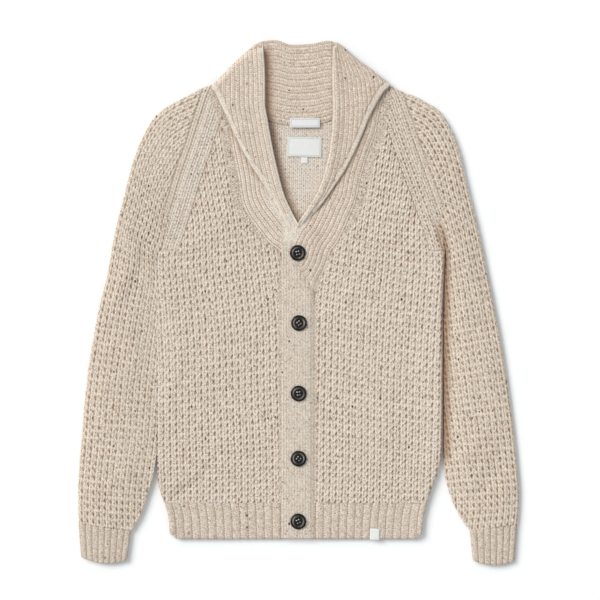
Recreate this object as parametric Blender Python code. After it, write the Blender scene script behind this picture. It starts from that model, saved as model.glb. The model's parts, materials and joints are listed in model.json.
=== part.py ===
"""Shawl collar cardigan, laid flat with its front up and its five buttons closed.

Every piece of cloth is one thick wall: an outer skin, an inner skin and a rim between them.
Lengths below are millimetres. X runs across the body (plus is the wearer's left), Y runs up
to the collar and Z up from the surface that the back lies on. The tables are laid out from the
middle of the neck, and CENTRE then brings the origin under the middle of the whole outline.
"right" and "left" in the names are the wearer's.
"""
import math

import bmesh
import bpy
import numpy as np

MM = 0.001
# Middle of the whole outline in the layout below, which the origin is put under.
CENTRE = (-2.2, 1.1)

# Walls and the air between them.
SEAM = 0.4              # gap along a seam and between layers that touch
BODY_WALL = 4.0         # chunky waffle knit
RIB_WALL = 2.8          # plain depth of a ribbed piece, under its ribs
RIB_RAISE = 1.1         # how far a rib stands proud
PLACKET_WALL = 2.8      # firm double jersey
LABEL_WALL = 0.8

# Levels of the layers above the surface.
FRONT_TOP = 8.7         # upper skin of a front that lies on the back
BODY_SIDE_TOP = 10.4    # the same at the side fold
SLEEVE_CROWN = 11.4     # middle of a flattened sleeve
SLEEVE_FOLD = 9.4       # a sleeve just inside its outer fold
BAND_BASE = 4.6         # under skin of the collar band where it lies on the back panel
BAND_RAISED = 7.8       # the same over the back of the collar
BAND_LOW_Y = 170.0      # the band lies low below this Y
BAND_HIGH_Y = 262.0     # and on the back of the collar above this one
CROSSED_BASE = 7.9      # under skin of the left band and placket where they lie on the right
FALL_RISE = 4.4         # from the band's under skin to the collar fall's
ROLL_HEIGHT = 9.2       # from the band's under skin to the fall's top at the roll
FALL_END_LEVEL = 8.0    # top edge of the fall, where it meets the back of the collar
BACK_STAND_BASE = 3.3   # under skin of the collar's back stand, above its fall
TRIM_STEP = 0.6         # how much lower a cuff or hem lies than the cloth it is sewn to
LOW_CROWN = 0.7         # middle of a sleeve above the fronts, at its narrow end

# How far the levels take to change, from an edge inwards.
PUFF_REACH = 24.0       # swelling beside the side fold
RIDGE_FADE = 25.0       # ridges of a front die out towards its edges
SLEEVE_RISE = 34.0      # a sleeve climbs to its crown from the seam
SLEEVE_FALL = 30.0      # and drops to the outer fold
SLEEVE_RIDGE_IN = 20.0
SLEEVE_RIDGE_OUT = 18.0
SLEEVE_RIM = 6.0
SLEEVE_NARROW = 12.0    # a sleeve this wide has a low crown
SLEEVE_WIDENS = 50.0    # and one this much wider has its full one
HEM_SLOPE = 26.0
HEM_CORNER_REACH = 12.0
FALL_SLOPE = 16.0       # the fall comes down from the roll
FALL_RIB_END = 7.0      # its ribs stop before the free edge
FALL_TURN = 9.0         # its top edge turns down
FALL_SINK = 0.96        # share of the drop that the turned edge makes
CROSSING_Y = (124.0, 165.0)     # the left band comes down from the right one between these
CROSSING_X = (6.0, 28.0)        # and between these distances from the right one's edge
BAND_RIBS_END = -34.0   # ribs of the right band stop here, at the placket
BAND_RIBS_FADE = 8.0

# Where the columns of a grid are, as shares of the stretch they divide.
NARROW_FRONT = 40.0     # a front narrower than this has evenly spread columns
NARROW_STOPS = (0.06, 0.14, 0.22)
FRONT_STOPS = (0.12, 0.26, 0.42, 0.6, 0.8, 1.0)
BACK_STOPS = (0.07, 0.15, 0.23, 0.31, 0.4, 0.5, 0.6, 0.69, 0.77, 0.85, 0.93)
SLEEVE_STOPS = (0.2, 0.5, 0.8, 1.0)
BAND_STOPS = (0.2, 0.4, 0.6, 0.8)
FALL_TOP_STOPS = (0.0, 0.35, 1.0)
FALL_STOPS = (0.2, 0.42, 0.64, 0.82, 0.93, 1.0)
ROLL_ANGLES = (0, 40, 90)
SLEEVE_FOLD_ANGLES = (60, 25, -10, -50, -90)
COLLAR_FOLD_ANGLES = (50, 10, -35, -90)
# How much each of the back's first rows follows the neck seam.
NECK_PULL = (1.0, 0.86, 0.70, 0.50, 0.32, 0.16, 0.05)

# Sizes of the trims.
BODY_RIB_PITCH = 12.2
CUFF_RIB_PITCH = 10.4
COLLAR_RIB_PITCH = 6.9
BACK_STAND_RIBS = 12
HEM_BOTTOM = -353.0
PLACKET_LEFT = -27.6
PLACKET_RIGHT = 21.4
PLACKET_BOTTOM = -352.0
PLACKET_SEAM_TOP = 87.0     # its upper seam runs down from left to right
PLACKET_SEAM_LOW = 18.0
PLACKET_COLUMNS = (
    # x, how far the skin is lowered
    (-27.6, 0.7),
    (-25.6, 0.0),
    (-11.6, 0.0),
    (2.4, 0.0),
    (15.2, 0.0),
    (21.4, 2.0),
)
UNDER_PLACKET_RIGHT = 14.2
UNDER_PLACKET_TOP = 75.6
NECK_LOW = 266.0        # middle of the back neck seam
NECK_RISE = 57.0        # how far that seam climbs to the side of the neck
NECK_HALF = 117.0
NECK_POWER = 2.17
HEM_CORNER = 6.0

# Buttons.
BUTTON_ACROSS = 23.0
BUTTON_DEPTH = 3.6
BUTTON_HOLE = 2.2
BUTTON_HOLE_SPACING = 4.6
BUTTON_PROFILE = (
    # share of the radius, z
    (0.0, 0.0),
    (0.86, 0.0),
    (1.0, 1.3),
    (0.97, 2.9),
    (0.86, BUTTON_DEPTH),
    (0.72, 3.3),
    (0.62, 2.2),
    (0.0, 1.9),
)
BUTTON_SIDES = 16
BUTTONS = (
    # x, y
    (-3.4, 75.8),
    (-1.6, -29.3),
    (-2.2, -134.9),
    (-2.2, -232.5),
    (-2.7, -326.6),
)

# Sections of the fronts, from the neck down: the raglan or side seam, and the edge at the collar
# band or placket. The first RAGLAN_ROWS rows are the raglan.
RAGLAN_ROWS = 11
FRONT_RIGHT = (
    # side_x, side_y, centre_x, centre_y
    (-129.8, 317.2, -126.8, 320.2),
    (-135.0, 303.8, -120.0, 303.8),
    (-140.2, 287.2, -112.5, 285.8),
    (-148.5, 261.8, -106.5, 261.8),
    (-158.2, 231.8, -101.0, 231.8),
    (-171.0, 195.8, -93.8, 195.8),
    (-184.5, 150.8, -86.2, 150.8),
    (-192.0, 126.8, -76.5, 129.8),
    (-198.0, 108.8, -63.0, 111.8),
    (-204.8, 90.8, -46.5, 91.5),
    (-208.5, 77.2, -29.5, 76.5),
    (-214.2, 53.2, -28.0, 53.2),
    (-214.5, 12.8, -28.0, 17.2),
    (-214.5, -21.8, -28.0, -21.8),
    (-214.5, -84.8, -28.0, -84.8),
    (-214.5, -152.2, -28.0, -152.2),
    (-214.5, -219.8, -28.0, -219.8),
    (-213.6, -255.8, -28.0, -255.8),
    (-210.0, -279.8, -28.0, -279.8),
    (-203.0, -299.2, -28.0, -299.2),
)
FRONT_LEFT = (
    # side_x, side_y, centre_x, centre_y
    (135.0, 317.2, 132.0, 320.2),
    (141.8, 303.8, 123.8, 303.8),
    (147.5, 287.2, 119.0, 285.8),
    (156.5, 261.8, 115.5, 261.8),
    (167.0, 231.8, 105.0, 231.8),
    (180.0, 195.8, 93.0, 194.2),
    (196.2, 150.8, 83.2, 150.8),
    (204.8, 126.8, 72.8, 126.8),
    (210.8, 108.8, 65.2, 108.8),
    (215.7, 90.8, 55.5, 90.8),
    (218.2, 77.2, 46.0, 77.2),
    (216.8, 53.2, 39.0, 56.2),
    (215.2, 12.8, 23.0, 17.2),
    (214.5, -21.8, 21.9, -21.8),
    (214.5, -84.8, 21.9, -84.8),
    (214.5, -152.2, 21.9, -152.2),
    (214.0, -219.8, 21.9, -219.8),
    (206.2, -255.8, 21.9, -255.8),
    (197.7, -279.8, 21.9, -279.8),
    (191.0, -299.2, 21.9, -299.2),
)

# Roll line of the collar, one row for each of the first rows above; the seam edge is theirs.
ROLL_RIGHT = (
    # x, y
    (-54.5, 375.0),
    (-53.2, 356.0),
    (-52.5, 332.2),
    (-52.5, 302.2),
    (-48.0, 272.2),
    (-42.0, 237.8),
    (-33.8, 200.2),
    (-24.0, 164.2),
    (-13.5, 140.2),
    (-1.0, 116.2),
    (16.5, 77.2),
)
ROLL_LEFT = (
    # x, y
    (49.0, 375.0),
    (48.5, 356.0),
    (48.5, 329.2),
    (49.5, 299.2),
    (48.8, 269.2),
    (45.0, 231.8),
    (38.2, 200.2),
    (27.8, 170.2),
    (13.5, 144.8),
    (-3.0, 120.8),
    (-12.0, 107.0),
    (-19.5, 95.2),
    (-25.5, 87.8),
)
RIGHT_ROLLED_ROWS = 9   # rows of the roll line that the fall is folded over
LEFT_ROLLED_ROWS = 10

# The collar's fall, measured out from the roll line: where each strip starts and ends.
FALL_RIGHT = (
    # across, top_y, bottom_y
    (0.0, 384.0, 125.0),
    (7.0, 382.8, 118.0),
    (14.0, 381.5, 114.0),
    (16.2, 380.8, 130.0),
    (20.0, 380.0, 160.0),
    (25.0, 377.0, 174.8),
    (40.2, 366.0, 212.2),
    (55.2, 351.0, 258.8),
    (63.0, 343.0, 287.2),
    (73.5, 332.5, 312.8),
    (75.8, 330.5, 322.0),
)
FALL_LEFT = (
    # across, top_y, bottom_y
    (0.0, 384.0, 121.5),
    (7.0, 389.0, 115.0),
    (9.5, 390.0, 122.0),
    (15.4, 392.0, 140.6),
    (19.6, 391.5, 167.6),
    (28.8, 388.0, 197.2),
    (39.2, 384.0, 231.8),
    (55.5, 372.0, 280.2),
    (68.0, 357.0, 304.0),
    (80.0, 340.0, 319.0),
    (84.0, 334.0, 325.0),
)
# On the left the ribs of the fall draw together towards the top of the roll.
FAN_LEFT = (
    # y, share of the full spacing
    (300.0, 1.0),
    (330.0, 0.96),
    (350.0, 0.82),
    (372.0, 0.55),
    (394.0, 0.33),
)

# Upper outline of the collar, from the right shoulder over the back to the left shoulder.
COLLAR_TOP = (
    # x, y
    (-120.0, 339.5),
    (-84.0, 374.5),
    (-58.0, 393.0),
    (-38.0, 395.0),
    (-12.0, 388.0),
    (18.0, 389.5),
    (42.0, 394.0),
    (54.0, 392.0),
    (84.0, 368.0),
    (120.0, 339.0),
)
COLLAR_FREE_BACK = 305.0    # lower edge of the collar's fall, behind

# Sections of the sleeves, from the neck to the cuff: the outer fold and the inner edge.
SLEEVE_RIGHT = (
    # outer_x, outer_y, inner_x, inner_y
    (-129.5, 330.0, -129.8, 317.2),
    (-147.0, 323.2, -135.0, 303.8),
    (-165.0, 313.5, -140.2, 287.2),
    (-183.0, 304.5, -148.5, 261.8),
    (-202.5, 293.2, -158.2, 231.8),
    (-222.0, 275.2, -171.0, 195.8),
    (-238.5, 245.2, -184.5, 150.8),
    (-247.0, 224.0, -192.0, 126.8),
    (-254.0, 201.5, -198.0, 108.8),
    (-260.0, 178.0, -204.8, 90.8),
    (-265.0, 157.0, -208.5, 77.2),
    (-277.0, 110.2, -214.5, 53.2),
    (-289.0, 41.2, -215.2, 12.8),
    (-298.5, 5.2, -215.2, -21.8),
    (-313.0, -66.8, -215.2, -84.8),
    (-322.5, -138.8, -215.2, -152.2),
    (-328.5, -210.8, -215.6, -219.8),
    (-331.5, -246.8, -220.5, -255.8),
    (-333.0, -282.8, -231.0, -291.8),
    (-332.6, -306.8, -240.0, -317.2),
    (-331.8, -329.2, -253.5, -341.2),
)
SLEEVE_LEFT = (
    # outer_x, outer_y, inner_x, inner_y
    (134.5, 327.5, 135.0, 317.2),
    (153.0, 318.0, 141.8, 303.8),
    (172.5, 311.2, 147.5, 287.2),
    (189.0, 302.2, 156.5, 261.8),
    (204.0, 293.2, 167.0, 231.8),
    (219.0, 275.2, 180.0, 195.8),
    (235.5, 239.2, 196.2, 150.8),
    (242.5, 214.0, 204.8, 126.8),
    (247.5, 191.5, 210.8, 108.8),
    (252.5, 171.0, 215.7, 90.8),
    (257.0, 152.5, 218.6, 77.2),
    (267.0, 113.2, 218.0, 53.2),
    (282.0, 41.2, 216.2, 12.8),
    (289.5, 5.2, 215.6, -21.8),
    (303.0, -66.8, 215.4, -84.8),
    (313.5, -138.8, 215.4, -152.2),
    (322.5, -210.8, 215.4, -219.8),
    (326.0, -246.8, 217.5, -255.8),
    (328.5, -282.8, 227.0, -291.8),
    (328.0, -309.0, 239.0, -318.0),
    (325.8, -330.8, 255.0, -341.2),
)
CUFF_RIGHT_END = (-328.0, -381.0, -259.5, -385.5)
CUFF_LEFT_END = (321.5, -386.5, 259.0, -385.5)
CUFF_SAG = 6.5          # how far the middle of a cuff's end hangs below its corners

# Shallow ridges that the loose cloth lies in.
RIDGES = (
    # x, y, half_length, half_width, turn, height
    (-150.0, 95.0, 60.0, 13.0, 28.0, 1.6),
    (150.0, 90.0, 62.0, 14.0, -30.0, 1.7),
    (-120.0, -60.0, 95.0, 26.0, 74.0, 1.3),
    (118.0, -120.0, 110.0, 24.0, 104.0, 1.4),
    (-95.0, -215.0, 70.0, 20.0, 12.0, 1.0),
    (80.0, 20.0, 70.0, 20.0, 60.0, 1.1),
    (-272.0, 20.0, 60.0, 12.0, 60.0, 1.3),
    (-285.0, -120.0, 55.0, 12.0, 35.0, 1.2),
    (-270.0, -215.0, 45.0, 11.0, 118.0, 1.4),
    (-292.0, -275.0, 34.0, 9.0, 20.0, 1.3),
    (262.0, 60.0, 60.0, 12.0, 118.0, 1.4),
    (272.0, -95.0, 55.0, 12.0, 150.0, 1.2),
    (268.0, -205.0, 45.0, 11.0, 60.0, 1.4),
    (290.0, -280.0, 34.0, 9.0, 165.0, 1.3),
)

HEM_RIGHT = (
    # x, y down the side
    (-203.0, -299.8),
    (-197.5, -322.0),
    (-195.5, HEM_BOTTOM),
)
HEM_LEFT = (
    # x, y down the side
    (191.0, -299.8),
    (186.0, -322.0),
    (183.5, HEM_BOTTOM),
)
HEM_TOP = FRONT_TOP + RIB_RAISE / 2 + SEAM
STAND_TOP = BACK_STAND_BASE + RIB_WALL + RIB_RAISE + SEAM
LABELS = (
    # name, centre, size, under skin, turn in degrees
    ("neck_tape", (7.5, 271.0), (45.0, 14.0), STAND_TOP, 0.0),
    ("neck_label", (6.9, 235.0), (51.0, 29.5), BODY_WALL + SEAM, -1.5),
    ("size_tab", (7.0, 215.0), (9.6, 9.0), BODY_WALL + SEAM, -1.5),
    ("side_tab", (112.0, -346.0), (14.5, 17.0), HEM_TOP, -2.0),
)

YARN = (0.604, 0.527, 0.434)
JERSEY = (0.64, 0.577, 0.49)
HORN = (0.02, 0.018, 0.015)
LABEL = (0.79, 0.79, 0.77)


# ---------------------------------------------------------------- helpers

def material(name, colour, roughness):
    made = bpy.data.materials.new(name)
    made.use_nodes = True
    shader = made.node_tree.nodes["Principled BSDF"]
    shader.inputs["Base Color"].default_value = (*colour, 1.0)
    shader.inputs["Roughness"].default_value = roughness
    shader.inputs["Metallic"].default_value = 0.0
    made.diffuse_color = (*colour, 1.0)
    return made


def add_mesh(name, vertices, faces, finish):
    """Make an object from millimetre points, with its faces turned outwards."""
    mesh = bpy.data.meshes.new(name)
    points = (np.asarray(vertices) - (*CENTRE, 0.0)) * MM
    mesh.from_pydata([tuple(p) for p in points], [], faces)
    work = bmesh.new()
    work.from_mesh(mesh)
    bmesh.ops.triangulate(work, faces=work.faces)
    bmesh.ops.recalc_face_normals(work, faces=work.faces)
    work.to_mesh(mesh)
    work.free()
    mesh.materials.append(finish)
    mesh.shade_smooth()
    mesh.set_sharp_from_angle(angle=math.radians(40))
    made = bpy.data.objects.new(name, mesh)
    bpy.context.collection.objects.link(made)
    return made


def wall(name, outer, inner, finish):
    """Close two grids of points, the skins of one piece of cloth, into a solid."""
    outer = np.asarray(outer, float)
    inner = np.asarray(inner, float)
    rows, columns = outer.shape[:2]
    count = rows * columns
    border = [(0, j) for j in range(columns)]
    border += [(i, columns - 1) for i in range(1, rows)]
    border += [(rows - 1, j) for j in range(columns - 2, -1, -1)]
    border += [(i, 0) for i in range(rows - 2, 0, -1)]
    faces = []
    for i in range(rows - 1):
        for j in range(columns - 1):
            a = i * columns + j
            quad = (a, a + 1, a + columns + 1, a + columns)
            faces.append(quad)
            faces.append(tuple(count + k for k in reversed(quad)))
    for here, there in zip(border, border[1:] + border[:1]):
        a = here[0] * columns + here[1]
        b = there[0] * columns + there[1]
        faces.append((b, a, count + a, count + b))
    points = np.concatenate([outer.reshape(-1, 3), inner.reshape(-1, 3)])
    return add_mesh(name, points, faces, finish)


def ease(value):
    """0 below 0, 1 above 1 and a smooth step between."""
    t = np.clip(value, 0.0, 1.0)
    return t * t * (3.0 - 2.0 * t)


def along(rows, column, at, key=0):
    """Read a column of a table at a value of its key column."""
    ordered = sorted(rows, key=lambda row: row[key])
    return np.interp(at, [row[key] for row in ordered], [row[column] for row in ordered])


def ridge_height(x, y):
    """Height that the shallow ridges add at a place."""
    total = 0.0
    for mid_x, mid_y, half_length, half_width, turn, height in RIDGES:
        angle = math.radians(turn)
        run = (x - mid_x) * math.cos(angle) + (y - mid_y) * math.sin(angle)
        side = (y - mid_y) * math.cos(angle) - (x - mid_x) * math.sin(angle)
        total += height * np.exp(-(run / half_length) ** 2 - (side / half_width) ** 2)
    return total


def neck_seam(x):
    """Y of the back neck seam."""
    return NECK_LOW + NECK_RISE * (abs(x) / NECK_HALF) ** NECK_POWER


def rolled_edge(radius, thick, roll):
    """Points of an edge that turns towards the other layer, from the edge inwards.

    Each is (outer reach, outer turn, inner reach, inner turn) in millimetres.
    """
    points = []
    for degrees in ROLL_ANGLES:
        angle = math.radians(degrees)
        reach = radius * (1.0 - math.cos(angle))
        share = roll * (1.0 - math.sin(angle))
        outer_turn = share * (radius - SEAM / 2)
        inner_turn = share * (radius - thick - SEAM / 2)
        points.append((reach, outer_turn, reach + roll * thick * math.cos(angle), inner_turn))
    return points


def rib_profile(across, pitch):
    """Share of the full rib height: a narrow groove between two flat wales."""
    phase = (across / pitch) % 1.0
    return 0.0 if min(phase, 1.0 - phase) < 0.12 else 1.0


def rib_stops(length, count):
    """Distances of the columns across a ribbed stretch: a groove and two wale corners a rib."""
    step = length / count
    stops = []
    for rib in range(count):
        stops += [rib * step, rib * step + 0.3 * step, rib * step + 0.7 * step]
    return stops + [length], step


# ---------------------------------------------------------------- body and sleeves

def front_sections(name, table, body_finish):
    """A front: sections from the side inwards to the band or placket."""
    outer, inner = [], []
    for row, (side_x, side_y, centre_x, centre_y) in enumerate(table):
        roll = 0.0 if row < RAGLAN_ROWS else 1.0
        toward = np.array([centre_x - side_x, centre_y - side_y])
        length = np.hypot(*toward)
        toward = toward / length
        side_top = FRONT_TOP + (BODY_SIDE_TOP - FRONT_TOP) * roll
        edge = rolled_edge(side_top / 2, BODY_WALL, roll)
        stops = [(r + SEAM / 2, down, r_in + SEAM / 2, down_in) for r, down, r_in, down_in in edge]
        if length < NARROW_FRONT:
            stops = [(length * share, 0.0, length * share, 0.0) for share in NARROW_STOPS]
        last = stops[-1][0]
        for share in FRONT_STOPS:
            reach = last + (length - SEAM / 2 - last) * share
            stops.append((reach, 0.0, reach, 0.0))
        outer_row, inner_row = [], []
        for reach, down, reach_in, down_in in stops:
            puff = (side_top - FRONT_TOP) * math.exp(-(reach / PUFF_REACH) ** 2)
            place = np.array([side_x, side_y]) + toward * reach
            fade = ease((length - reach) / RIDGE_FADE) * ease(reach / RIDGE_FADE)
            top = FRONT_TOP + puff + ridge_height(*place) * fade
            place_in = np.array([side_x, side_y]) + toward * reach_in
            outer_row.append((*place, top - down))
            inner_row.append((*place_in, top - BODY_WALL - down_in))
        outer.append(outer_row)
        inner.append(inner_row)
    return wall(name, outer, inner, body_finish)


def back_panel(body_finish):
    """The back: flat on the surface, its side edges turned up to meet the fronts."""
    outer, inner = [], []
    corner_y = FRONT_RIGHT[0][1]
    for row, (right, left) in enumerate(zip(FRONT_RIGHT, FRONT_LEFT)):
        roll = 0.0 if row < RAGLAN_ROWS else 1.0
        pull = NECK_PULL[row] if row < len(NECK_PULL) else 0.0
        edge = rolled_edge(BODY_SIDE_TOP / 2, BODY_WALL, roll)
        left_x, right_x = right[0] + SEAM / 2, left[0] - SEAM / 2
        stops = [(left_x + r, up, left_x + r_in, up_in) for r, up, r_in, up_in in edge]
        for share in BACK_STOPS:
            x = left_x + (right_x - left_x) * share
            stops.append((x, 0.0, x, 0.0))
        stops += [(right_x - r, up, right_x - r_in, up_in) for r, up, r_in, up_in in reversed(edge)]
        outer_row, inner_row = [], []
        for x, up, x_in, up_in in stops:
            notch = (neck_seam(x) if abs(x) < NECK_HALF else corner_y) - corner_y
            y = right[1] + min(notch, 0.0) * pull - (2 * SEAM if row == 0 else 0.0)
            outer_row.append((x, y, up))
            inner_row.append((x_in, y, BODY_WALL + up_in))
        outer.append(outer_row)
        inner.append(inner_row)
    return wall("back_panel", outer, inner, body_finish)


def tube_section(width, inner_top, crown, fold_top, thick, roll, front_stops):
    """One section of a flattened tube, as (across, z) pairs of its outer and inner skin.

    It starts at the seam of the upper layer, goes round the outer fold and comes back below.
    """
    def top_at(reach):
        rise_in = ease(reach / min(SLEEVE_RISE, width / 2))
        rise_out = ease((width - reach) / min(SLEEVE_FALL, width / 2))
        return crown - (crown - inner_top) * (1 - rise_in) - (crown - fold_top) * (1 - rise_out)

    edge = rolled_edge(inner_top / 2, thick, roll)
    fold = fold_top / 2
    outer, inner = [], []
    for reach, down, reach_in, down_in in edge:
        outer.append((reach + SEAM / 2, top_at(reach) - down))
        inner.append((reach_in + SEAM / 2, top_at(reach) - thick - down_in))
    first, last = outer[-1][0], width - fold
    for share in front_stops:
        reach = first + (last - first) * share
        outer.append((reach, top_at(reach)))
        inner.append((reach, top_at(reach) - thick))
    for degrees in SLEEVE_FOLD_ANGLES:
        angle = math.radians(degrees)
        outer.append((last + fold * math.cos(angle), fold + fold * math.sin(angle)))
        small = fold - thick
        inner.append((last + small * math.cos(angle), fold + small * math.sin(angle)))
    middle = (first + last) / 2
    outer.append((middle, 0.0))
    inner.append((middle, thick))
    for reach, up, reach_in, up_in in reversed(edge):
        outer.append((reach + SEAM / 2, up))
        inner.append((reach_in + SEAM / 2, thick + up_in))
    return outer, inner


def sleeve(name, table, body_finish):
    outer, inner = [], []
    for row, (outer_x, outer_y, inner_x, inner_y) in enumerate(table):
        roll = 0.0 if row < RAGLAN_ROWS else 1.0
        start = np.array([inner_x, inner_y])
        toward = np.array([outer_x, outer_y]) - start
        width = np.hypot(*toward)
        toward = toward / width
        room = ease((width - SLEEVE_NARROW) / SLEEVE_WIDENS)
        low = FRONT_TOP + LOW_CROWN
        crown = low + (SLEEVE_CROWN - low) * room
        skins = tube_section(
            width, FRONT_TOP, crown, SLEEVE_FOLD, BODY_WALL, roll, SLEEVE_STOPS
        )
        for skin, grid in zip(skins, (outer, inner)):
            points = []
            for reach, z in skin:
                place = start + toward * reach
                upper = z > FRONT_TOP / 2 + 0.5 if grid is inner else z > FRONT_TOP - 0.2
                out = width - SLEEVE_RIM - reach
                share = ease(reach / SLEEVE_RIDGE_IN) * ease(out / SLEEVE_RIDGE_OUT)
                lift = ridge_height(*place) * share * room if upper else 0.0
                points.append((*place, z + lift))
            grid.append(points)
    return wall(name, outer, inner, body_finish)


def cuff(name, top_row, end_row, rib_finish):
    """A ribbed cuff: a flattened tube with ribs raised on its upper side."""
    outer, inner = [], []
    count = round(math.dist(top_row[:2], top_row[2:]) / CUFF_RIB_PITCH)
    for share in (0.0, 0.5, 1.0):
        row = np.array(top_row) + (np.array(end_row) - np.array(top_row)) * share
        start = row[2:]
        toward = row[:2] - start
        width = np.hypot(*toward)
        toward = toward / width
        down = np.array([toward[1], -toward[0]])
        down = down if down[1] < 0 else -down
        start = start + down * (SEAM if share == 0.0 else 0.0)
        fold_top = SLEEVE_FOLD - TRIM_STEP
        flat = width - fold_top
        stops, step = rib_stops(flat, count)
        front_stops = [stop / flat for stop in stops[1:]]
        plain = tube_section(
            width, fold_top, fold_top + TRIM_STEP, fold_top, RIB_WALL, 1.0, front_stops
        )
        first = plain[0][2][0]
        for skin, grid in zip(plain, (outer, inner)):
            points = []
            for reach, z in skin:
                sag = CUFF_SAG * share * math.sin(math.pi * min(max(reach / width, 0), 1))
                place = start + toward * reach + down * sag
                on_top = first - 0.1 <= reach <= width - fold_top / 2 + 0.1 and z > fold_top - 0.3
                rib = rib_profile(reach - first, step) if grid is outer and on_top else 0.0
                points.append((*place, z + RIB_RAISE * (rib - 0.5) * (grid is outer and on_top)))
            grid.append(points)
    return wall(name, outer, inner, rib_finish)


def hem_corner(reach):
    """How far the lower edge of the hem is drawn up beside its rounded corner."""
    return HEM_CORNER * (1 - ease(reach / HEM_CORNER_REACH))


def hem_front(name, side_rows, centre_x, rib_finish):
    """The ribbed hem of one front; side_rows are (x, y) down its side."""
    outer, inner = [], []
    count = round(abs(centre_x - side_rows[0][0]) / BODY_RIB_PITCH)
    for row, (side_x, side_y) in enumerate(side_rows):
        sign = 1.0 if centre_x > side_x else -1.0
        length = abs(centre_x - side_x) - SEAM
        top = BODY_SIDE_TOP - TRIM_STEP
        edge = rolled_edge(top / 2, RIB_WALL, 1.0)
        first = edge[-1][0]
        stops, step = rib_stops(length - first, count)
        places = list(edge) + [(first + s, 0.0, first + s, 0.0) for s in stops[1:]]
        outer_row, inner_row = [], []
        for reach, down, reach_in, down_in in places:
            level = top - (top - FRONT_TOP) * ease(reach / HEM_SLOPE)
            rib = rib_profile(reach - first, step) if reach >= first - 0.01 else 0.0
            raised = RIB_RAISE * (rib - 0.5) if reach >= first - 0.01 else 0.0
            corner = hem_corner(reach) if row == len(side_rows) - 1 else 0.0
            x = side_x + sign * (reach + SEAM / 2)
            x_in = side_x + sign * (reach_in + SEAM / 2)
            outer_row.append((x, side_y + corner, level + raised - down))
            inner_row.append((x_in, side_y + corner, level - RIB_WALL - down_in))
        outer.append(outer_row)
        inner.append(inner_row)
    return wall(name, outer, inner, rib_finish)


def hem_back(right_rows, left_rows, rib_finish):
    outer, inner = [], []
    for row, (right, left) in enumerate(zip(right_rows, left_rows)):
        edge = rolled_edge((BODY_SIDE_TOP - TRIM_STEP) / 2, RIB_WALL, 1.0)
        left_x, right_x = right[0] + SEAM / 2, left[0] - SEAM / 2
        stops = [(left_x + r, up, left_x + r_in, up_in) for r, up, r_in, up_in in edge]
        for share in (0.25, 0.5, 0.75):
            x = left_x + (right_x - left_x) * share
            stops.append((x, 0.0, x, 0.0))
        stops += [(right_x - r, up, right_x - r_in, up_in) for r, up, r_in, up_in in reversed(edge)]
        last = row == len(right_rows) - 1
        outer_row, inner_row = [], []
        for x, up, x_in, up_in in stops:
            reach = min(x - left_x, right_x - x)
            y = right[1] + (hem_corner(reach) if last else 0.0)
            outer_row.append((x, y, up))
            inner_row.append((x_in, y, RIB_WALL + up_in))
        outer.append(outer_row)
        inner.append(inner_row)
    return wall("hem_back", outer, inner, rib_finish)


# ---------------------------------------------------------------- collar

def band_base(y):
    """Under skin of a collar band: it climbs to lie over the back of the collar."""
    return np.interp(y, (BAND_LOW_Y, BAND_HIGH_Y), (BAND_BASE, BAND_RAISED))


def crossing_rise(x, y):
    """How far the left band is lifted where it lies on the right band or the under placket."""
    under_edge = along(ROLL_RIGHT, 0, y, key=1) if y > ROLL_RIGHT[-1][1] else UNDER_PLACKET_RIGHT
    low_enough = np.interp(y, CROSSING_Y, (1.0, 0.0))
    near_enough = np.interp(x - under_edge, CROSSING_X, (1.0, 0.0))
    return (CROSSED_BASE - BAND_BASE) * low_enough * near_enough


def collar_band(name, front, roll_line, rolled_rows, seam_ribs, crossed, rib_finish):
    """The part of the collar between the seam to the front and the roll line.

    Ribs are raised on the stretch beside the seam, which shows beyond the fall.
    """
    outer, inner = [], []
    for row, (roll_x, roll_y) in enumerate(roll_line):
        seam = np.array(front[row][2:])
        edge_point = np.array([roll_x, roll_y])
        toward = seam - edge_point
        length = np.hypot(*toward)
        toward = toward / length
        roll = 1.0 if row < rolled_rows else 0.0
        base_edge = rolled_edge(ROLL_HEIGHT / 2, RIB_WALL, roll)
        stops = [(r, up, r_in, up_in) for r, up, r_in, up_in in base_edge]
        ribs_from = length - SEAM - seam_ribs * COLLAR_RIB_PITCH
        first = base_edge[-1][0]
        for share in BAND_STOPS:
            reach = first + (ribs_from - first) * share
            stops.append((reach, 0.0, reach, 0.0))
        rib_places, step = rib_stops(seam_ribs * COLLAR_RIB_PITCH, seam_ribs)
        stops += [(ribs_from + s, 0.0, ribs_from + s, 0.0) for s in rib_places]
        outer_row, inner_row = [], []
        for reach, up, reach_in, up_in in stops:
            place = edge_point + toward * reach
            place_in = edge_point + toward * reach_in
            base = band_base(place[1]) + (crossing_rise(*place) if crossed else 0.0)
            raised = 0.0
            if reach > ribs_from - 0.01:
                raised = RIB_RAISE * rib_profile(reach - ribs_from, step)
            if not crossed:
                raised *= ease((BAND_RIBS_END - place[0]) / BAND_RIBS_FADE)
            outer_row.append((*place, base + up))
            inner_row.append((*place_in, base + RIB_WALL + up_in + raised))
        outer.append(outer_row)
        inner.append(inner_row)
    return wall(name, outer, inner, rib_finish)


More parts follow.
